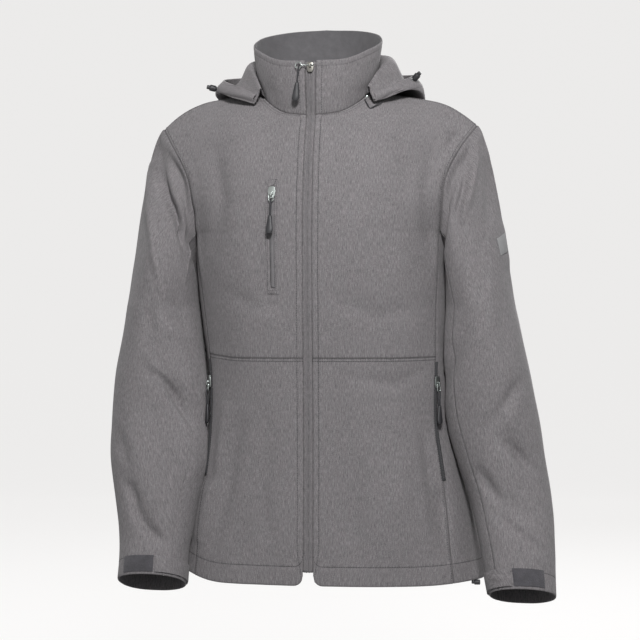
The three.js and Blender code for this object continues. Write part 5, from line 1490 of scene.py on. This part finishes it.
def middle_panels() -> dict[str, Panel]:
    """Lays out the back and the collar, which both sides share."""
    half = stations(0, 1, 190, (False, True))
    turns = [FRONT_TURN, 180.0]
    for corner, first in ((CHEST_CORNER, FRONT_TURN), (BACK_CORNER, 180)):
        above = CHEST_LEVELS[CHEST_LEVELS >= 1 + corner] - 1
        turns.extend(lerp(first, SHOULDER_TURN, (above - corner) / (1 - corner)))
    turns = np.unique(np.round(turns, 9))
    turns = np.concatenate([turns, 360 - turns[-2::-1]])
    facing_turns = stations(FACING_TURN, 360 - FACING_TURN, 500)
    up = stations(0, 1, 76)
    ends = (("u0", 2, 18, 0), ("u1", 2, 18, 0), ("v0", 0, 8, 0))
    return make_panels({
        "back": (
            whole_back, np.concatenate([-half[::-1], half[1:]]), ALL_LEVELS, True, "seam seam free seam",
            {"v0": HEM_BAND}, "trunk", {
                "fade": (("u0", 0, 12, 1), ("u1", 0, 12, 1), ("v1", 0, 10, 1)),
                "grain_column": len(half) - 1, "upright_grain": True,
            },
        ),
        "collar_outer": (
            CUT.collar, turns, up, False, "free free seam free",
            {"u0": ZIP_STITCH, "u1": ZIP_STITCH, "v1": COLLAR_STITCH}, "collar",
            {"fade": ends, "grain_column": len(turns) // 2, "even_grain": True},
        ),
        "collar_facing": (
            CUT.collar, facing_turns, up, False, "free free seam free", {"v1": COLLAR_STITCH}, "collar",
            {"fade": ends, "grain_column": len(facing_turns) // 2, "wall": FACING_WALL,
             "below": SHELL_WALL + LAYER_GAP},
        ),
    })


def hood_panels() -> dict[str, Panel]:
    """Lays out the hood's middle piece and its two sides."""
    side_turns = stations(HOOD_FRONT_TURN, HOOD_MIDDLE_TURN, 210)
    turns = {
        "hood_side_left": side_turns, "hood_side_right": 360 - side_turns[::-1],
        "hood_centre": stations(HOOD_MIDDLE_TURN, 360 - HOOD_MIDDLE_TURN, 150),
    }
    rows = stations(0, 1, 420, sewn=(-14.0,))
    return make_panels({
        name: (CUT.hood, us, rows, False, "seam seam seam free", {"v1": RIM_STITCH}, "hood",
               {"fade": (("v0", 2, 20, 0),)})
        for name, us in turns.items()
    })


class FrontZip:
    """The main zip: two halves of tape that meet at a slit, and their coil."""

    # One half of the tape's profile, from its hidden edge to the slit: across and out.
    half_profile = (
        (-13, -3.5), (13, -3.5), (13, -2.5), (6.6, -2.5), (6.1, -1.2), (5.4, -0.8), (3.2, -0.6), (1.0, -0.6),
        (0.5, -0.8), (0.3, -1.7),
    )
    # How far the tape's edges sink towards the neck, and between which heights that begins.
    droop_mm, droop_half, droop_from, droop_to = 2.0, 13.0, -140, -45
    # Each row of coil: how far it lies aside and out, its pitch, and the size of a turn.
    coil_aside, coil_out, coil_pitch, coil_size = 1.9, -0.62, 2.0, (2.3, 1.1, 0.55)

    def __init__(self, wardrobe: Wardrobe, parts: SmallParts) -> None:
        """Keeps the finishes and the tool that lays its teeth."""
        self.wardrobe, self.parts = wardrobe, parts

    def line(self) -> Row:
        """Gives the zip's middle line from the hem up to the collar's edge."""
        low = np.arange(ZIP_BOTTOM_Z, FRONT_NECK_Z, 4.0)
        trunk = stack(0 * low, -TRUNK("front", low), low)
        up = np.linspace(0, (ZIP_TOP_Z - FRONT_NECK_Z) / (NECK("top", 0) - FRONT_NECK_Z), 19)
        points = np.concatenate([trunk, CUT.collar(0, up)])
        run = unit(np.gradient(points, axis=0))
        return Row(points, unit(np.cross(run, np.array([-1.0, 0, 0]))))

    def make(self) -> None:
        """Makes the tape and the rows of coil."""
        line = self.line()
        profile = self.half_profile + tuple((-x, out) for x, out in self.half_profile[:1:-1])
        sunk = smooth(self.droop_from, self.droop_to, line.points[:, 2])
        droop = self.droop_mm / self.droop_half**2 * sunk
        tape = place_piece("zip_main_tape", sweep("zip_main_tape", line, profile, droop))
        self.wardrobe.dress(tape, "band")
        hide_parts("zip_main")
        rows = [line.moved(side * self.coil_aside, self.coil_out) for side in SIDE_NAME]
        look = self.coil_pitch, self.coil_size, self.wardrobe.materials["tape"], "zip_tape"
        self.parts.lay("zip_main_coil", rows, True, *look)


class Trims:
    """The hard and sewn-on trims: rounded, finished copies of their solids."""

    # What each solid's name starts with, its finish, and how far its edges are rounded, in millimetres.
    looks = {
        "slider_main": ("gunmetal", 0.35), "slider_": ("metal", 0.35), "link_": ("metal", 0.25),
        "eyelet": ("metal", 0.25), "grip_": ("rubber", 0.5), "lock_": ("rubber", 0.5), "cord_": ("cord", 0.35),
        "zip_chest": ("tape", 0.2), "zip_pocket": ("dark tape", 0.2), "cuff_patch": ("loop", 0.3),
        "cuff_tab": ("trim", 0.5), "sleeve_label": ("label", 0.25), "welt": ("trim", 0.3),
    }
    loose = ("link_", "cord_", "grip_")
    # The angles in degrees up to which faces merge, and from which edges are rounded and shaded sharp.
    angles = (1.5, 32, 50)
    chest_x, chest_low, chest_high = -50.5, -275.0, -127.0
    # The welt's rounds of stitches: how far they lie from the zip, beside it and past its ends.
    welt_rounds = ((7.5, 7.6), (5.0, 3.4))
    welt_pitch, welt_size, coil_short, laid_on = 2.9, (2.3, 0.7, 0.45), 2.0, 0.1
    pocket_low, pocket_high = -544.0, -380.0

    def __init__(self, nodes: dict[str, Object], wardrobe: Wardrobe, parts: SmallParts) -> None:
        """Keeps the solids, the finishes and the tool that lays stitches and teeth."""
        self.nodes, self.wardrobe, self.parts = nodes, wardrobe, parts

    def calm_cloth(self) -> None:
        """Keeps the cloth's creases away from every trim that lies on it."""
        for name in self.nodes:
            if name.startswith(tuple(self.looks)) and not name.startswith(self.loose):
                CALM.add(name)

    def _coil(
        self, name: str, line: Row, lifted: float, pitch: float, size: tuple[float, float, float]
    ) -> None:
        """Lays a zip's coil on its strip."""
        rows, material = [settle(line, self.nodes[name], lifted)], self.wardrobe.materials["coil"]
        self.parts.lay(f"{name}_coil", rows, True, pitch, size, material, "zip_tape")

    def sew_chest(self) -> None:
        """Sews the chest pocket's frame down with two rounds of stitches and lays its coil."""
        rounds = []
        for half, end in self.welt_rounds:
            left, right = self.chest_x - half, self.chest_x + half
            low, high = self.chest_low - end, self.chest_high + end
            frame = [(left, low), (left, high), (right, high), (right, low), (left, low)]
            rounds.append(settle(along_front(frame), self.nodes["welt_chest"], self.laid_on))
        look = self.welt_pitch, self.welt_size, self.wardrobe.materials["thread"], "softshell"
        self.parts.lay("stitches_welt", rounds, False, *look)
        ends = self.chest_low + self.coil_short, self.chest_high - self.coil_short
        line = along_front([(self.chest_x, z) for z in ends])
        self._coil("zip_chest", line, self.laid_on, 1.9, (2.6, 1.1, 0.7))

    def coil_pockets(self, panels: dict[str, Panel]) -> None:
        """Lays the coil of each hand pocket's zip."""
        for hand in SIDE_NAME.values():
            edge = panels[f"front_lower_{hand}"].line("u1", 0.2)
            z = edge.points[:, 2]
            kept = (z < self.pocket_high) & (z > self.pocket_low)
            row = Row(edge.points[kept], edge.ups[kept])
            self._coil(f"zip_pocket_{hand}", row, 0.15, 2.1, (2.4, 1.3, 0.9))

    def make(self) -> None:
        """Makes every trim."""
        for name in self.nodes:
            found = next((look for start, look in self.looks.items() if name.startswith(start)), None)
            if found:
                self.wardrobe.dress(self.rounded(name, found[1]), found[0])

    def rounded(self, node: str, bevel: float) -> Object:
        """Copies a solid with its edges rounded off and puts the copy in its place."""
        solid = self.nodes[node]
        work = bmesh.new()
        work.from_mesh(solid.data)
        bmesh.ops.remove_doubles(work, verts=work.verts, dist=2e-6)
        flat, sharp_from, shaded_sharp = (math.radians(a) for a in self.angles)
        bmesh.ops.dissolve_limit(work, angle_limit=flat, verts=work.verts, edges=work.edges)
        sharp = [
            e for e in work.edges if len(e.link_faces) == 2 and e.calc_face_angle(0) > sharp_from
        ]
        bmesh.ops.bevel(work, geom=sharp, offset=bevel * MM, segments=2, profile=0.6, affect="EDGES",
                        clamp_overlap=True)
        bmesh.ops.remove_doubles(work, verts=work.verts, dist=1e-6)
        bmesh.ops.recalc_face_normals(work, faces=work.faces)
        mesh = bpy.data.meshes.new(f"{node}_trim")
        work.to_mesh(mesh)
        work.free()
        smooth_faces(mesh)
        mesh.set_sharp_from_angle(angle=shaded_sharp)
        piece = place_piece(mesh.name, mesh, body_of(solid)[0])
        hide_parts(node)
        return piece


@dataclass(frozen=True)
class HoodLoop:
    """The end of the hood's drawcord: a slack loop below its left front corner, with a snap above."""

    wardrobe: Wardrobe
    radius: float = 0.85
    snap: float = 3.4
    spots: tuple[tuple[float, float], ...] = (
        (72, -7.5), (76, -15), (80, -20.8), (82.5, -20.6), (88, -16.8), (96, -11.4)
    )
    # The snap's dome: each ring's share of its radius, and how far back it lies.
    dome: tuple[tuple[float, float], ...] = (
        (0.98, 0.9), (1.0, -0.2), (0.9, -1.1), (0.55, -1.7), (0.15, -1.9)
    )

    def _front(self, x: float, z: float, cloths: Sequence[BVHTree]) -> float:
        """Finds how far forward the cloth lies at a place across and up."""
        hits = [tree.ray_cast(Vector((x, -300, z)) * MM, Vector((0, 1, 0)))[0] for tree in cloths]
        return min(hit.y / MM for hit in hits if hit is not None)

    def make(self, names: Sequence[str]) -> None:
        """Makes the loop and its snap on the cloth that they lie on."""
        cloths = [bvh_of(bpy.data.objects[name].data) for name in names]
        keys = np.array(self.spots, float)
        at, knots = np.linspace(0, len(keys) - 1, 41), np.arange(len(keys), dtype=float)
        x, z = (hermite(knots, keys[:, c], at) for c in (0, 1))
        y = np.array([self._front(a, b, cloths) for a, b in zip(x, z)]) - self.radius - LAYER_GAP
        near = np.array([y[max(i - 3, 0) : i + 4].min() for i in range(len(y))])
        line = stack(x, np.convolve(np.pad(near, 2, "edge"), np.ones(5) / 5, "valid"), z)
        row = Row(line, stack(0 * x, -1, 0 * x))
        profile = [(self.radius * math.cos(a), self.radius * math.sin(a)) for a in arc(8)]
        loop = place_piece("hood_loop", sweep("hood_loop", row, profile))
        self.wardrobe.dress(loop, "cord")
        self._snap(cloths)

    def _snap(self, cloths: Sequence[BVHTree]) -> None:
        """Makes the snap as a low dome."""
        x, z = self.spots[0][0] + 1.0, self.spots[0][1] + 5.0
        y, a = self._front(x, z, cloths), arc(18)
        points = [
            stack(x + self.snap * share * np.cos(a), y + back, z + self.snap * share * np.sin(a))
            for share, back in self.dome
        ]
        mesh = closed_mesh("hood_snap", np.array(points), len(self.dome))
        self.wardrobe.dress(place_piece("hood_snap", mesh), "metal")


class Stitching:
    """The topstitching on every piece of cloth."""

    pitch, size, raised = 3.3, (2.6, 0.85, 0.5), 0.12
    below_underarm, above_underarm, corner = 0.98, 1.02, 1 + CHEST_CORNER
    # Each part's rows: the piece, its edge, the distance from it, and where the row starts or stops.
    sided = {
        "front": (
            ("front_lower", "u0", ZIP_STITCH), ("front_upper", "u0", ZIP_STITCH, {"stop": corner}),
            ("front_lower", "v1", 3.9), ("front_lower", "v1", 0.9),
        ),
        "body": (
            ("front_lower", "v0", HEM_BAND), ("side_panel", "v0", HEM_BAND),
            ("front_upper", "u1", YOKE_STITCH, {"start": above_underarm}), ("front_upper", "v1", SEAM_STITCH),
            ("front_lower", "u1", SEAM_STITCH), ("front_upper", "u1", SEAM_STITCH, {"stop": below_underarm}),
            ("front_upper", "u0", 3.4, {"start": corner + 0.01}),
        ),
        "sleeves": (("sleeve_top", "v1", CUFF_BAND), ("sleeve_under", "v1", CUFF_BAND)),
    }
    shared = {
        "body": (
            ("back", "v0", HEM_BAND), ("back", "u0", YOKE_STITCH, {"start": above_underarm}),
            ("back", "u1", YOKE_STITCH, {"start": above_underarm}),
        ),
        "collar": (
            ("collar_outer", "v1", COLLAR_STITCH), ("collar_outer", "u0", ZIP_STITCH),
            ("collar_outer", "u1", ZIP_STITCH),
        ),
        "hood": (
            ("hood_side_right", "v1", RIM_STITCH), ("hood_centre", "v1", RIM_STITCH),
            ("hood_side_left", "v1", RIM_STITCH), ("hood_centre", "u0", SEAM_STITCH),
            ("hood_centre", "u1", SEAM_STITCH),
        ),
    }

    def __init__(self, wardrobe: Wardrobe, parts: SmallParts, panels: dict[str, Panel]) -> None:
        """Keeps the pieces to sew."""
        self.wardrobe, self.parts, self.panels = wardrobe, parts, panels

    def make(self) -> None:
        """Sews each part of the garment."""
        for part in ("front", "body", "sleeves", "collar", "hood"):
            wanted = [
                (f"{row[0]}_{hand}", *row[1:])
                for hand in SIDE_NAME.values() for row in self.sided.get(part, ())
            ]
            rows = [
                self.panels[piece].line(edge, offset, **(ends[0] if ends else {}))
                for piece, edge, offset, *ends in (*wanted, *self.shared.get(part, ()))
            ]
            rows = [row.moved(0, self.raised) for row in rows if len(row.points) > 2]
            thread = self.wardrobe.materials["thread"]
            self.parts.lay(f"stitches_{part}", rows, False, self.pitch, self.size, thread, "softshell")


@dataclass
class Studio:
    """A plain pale floor and backdrop, soft lights, and the camera at the photograph's angle."""

    distance: float = 2.5
    turn: float = 8.0
    height: float = -0.319
    lens: float = 96.98
    floor: float = -1.05

    # Each light's place and size in metres, and its power in watts.
    lights = {
        "key": ((0.5, -2.3, 1.15), 0.5, 68), "fill": ((-1.5, -2.7, 0.1), 1.4, 4),
        "top": ((0.0, -0.6, 2.4), 2.0, 4), "back": ((0.4, 2.6, 1.2), 0.9, 60),
        "right side": ((-2.4, 1.7, 0.8), 1.0, 16), "left side": ((2.4, 1.7, 0.8), 1.0, 16),
    }
    # The round floor's radius, that of the curve into its wall, and the wall's top, in metres.
    floor_radius, cove, wall_top = 4.6, 1.8, 9.0

    def build(self) -> None:
        """Adds the stage, the lights and the camera."""
        self._stage()
        for name, (place, size, power_w) in self.lights.items():
            data = bpy.data.lights.new(name, "AREA")
            data.size, data.energy = size, power_w
            lamp = add_object(name, data)
            lamp.location = place
            lamp.rotation_euler = (Vector((0, 0, -0.3)) - Vector(place)).to_track_quat("-Z", "Y").to_euler()
        world = bpy.data.worlds.new("studio")
        world.use_nodes = True
        background = world.node_tree.nodes["Background"].inputs
        background[0].default_value, background[1].default_value = (0.9, 0.92, 0.95, 1), 0.1
        bpy.context.scene.world = world
        bpy.context.scene.view_settings.view_transform = "Standard"
        data = bpy.data.cameras.new("camera")
        data.lens, data.sensor_width = self.lens, 36.0
        camera = add_object("camera", data)
        angle = math.radians(self.turn)
        camera.location = (self.distance * math.sin(angle), -self.distance * math.cos(angle), self.height)
        camera.rotation_euler = (math.radians(90), 0, angle)
        bpy.context.scene.camera = camera

    def _stage(self) -> None:
        """Makes a round floor that curves up into a wall on every side, all one sheet."""
        bends = [
            (self.floor_radius + self.cove * math.sin(a), self.cove - self.cove * math.cos(a))
            for a in np.linspace(0, math.pi / 2, 16)
        ]
        rows = [(0.01, 0.0), *bends, (self.floor_radius + self.cove, self.wall_top)]
        turns = arc(72)
        points = [(r * math.cos(a), r * math.sin(a), self.floor + z) for r, z in rows for a in turns]
        faces = tube_faces(len(rows), len(turns))[:-2] + [tuple(range(len(turns) - 1, -1, -1))]
        mesh = bpy.data.meshes.new("backdrop")
        mesh.from_pydata(points, [], faces)
        smooth_faces(mesh)
        sheet = add_object("backdrop", mesh)
        sheet.visible_diffuse = False
        paint = bpy.data.materials.new("pale backdrop")
        paint.use_nodes = True
        shader = paint.node_tree.nodes["Principled BSDF"].inputs
        values = {
            "Base Color": (0.1, 0.1, 0.102, 1), "Roughness": 0.9,
            "Emission Color": (1, 0.99, 0.98, 1), "Emission Strength": 0.8,
        }
        for key, value in values.items():
            shader[key].default_value = value
        mesh.materials.append(paint)


def main() -> None:
    """Builds the jacket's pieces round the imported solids."""
    logging.basicConfig(level=logging.INFO, format="%(message)s")
    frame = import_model()
    Studio().build()
    wardrobe, parts = Wardrobe(), SmallParts()
    trims = Trims(dict(frame["nodes"]), wardrobe, parts)
    trims.calm_cloth()
    jacket, hood = {}, hood_panels()
    for side, hand in SIDE_NAME.items():
        jacket.update(body_panels(side, hand))
    jacket.update(middle_panels())
    meet_at_seams([panel for name, panel in jacket.items() if name != "collar_facing"])
    meet_at_seams(list(hood.values()))
    panels = {**jacket, **hood}
    Cloth(wardrobe, panels).make()
    FrontZip(wardrobe, parts).make()
    trims.make()
    trims.sew_chest()
    trims.coil_pockets(panels)
    HoodLoop(wardrobe).make(("collar_outer_cloth", "front_upper_left_cloth", "hood_side_left_cloth"))
    Stitching(wardrobe, parts, panels).make()


if __name__ == "__main__":
    main()
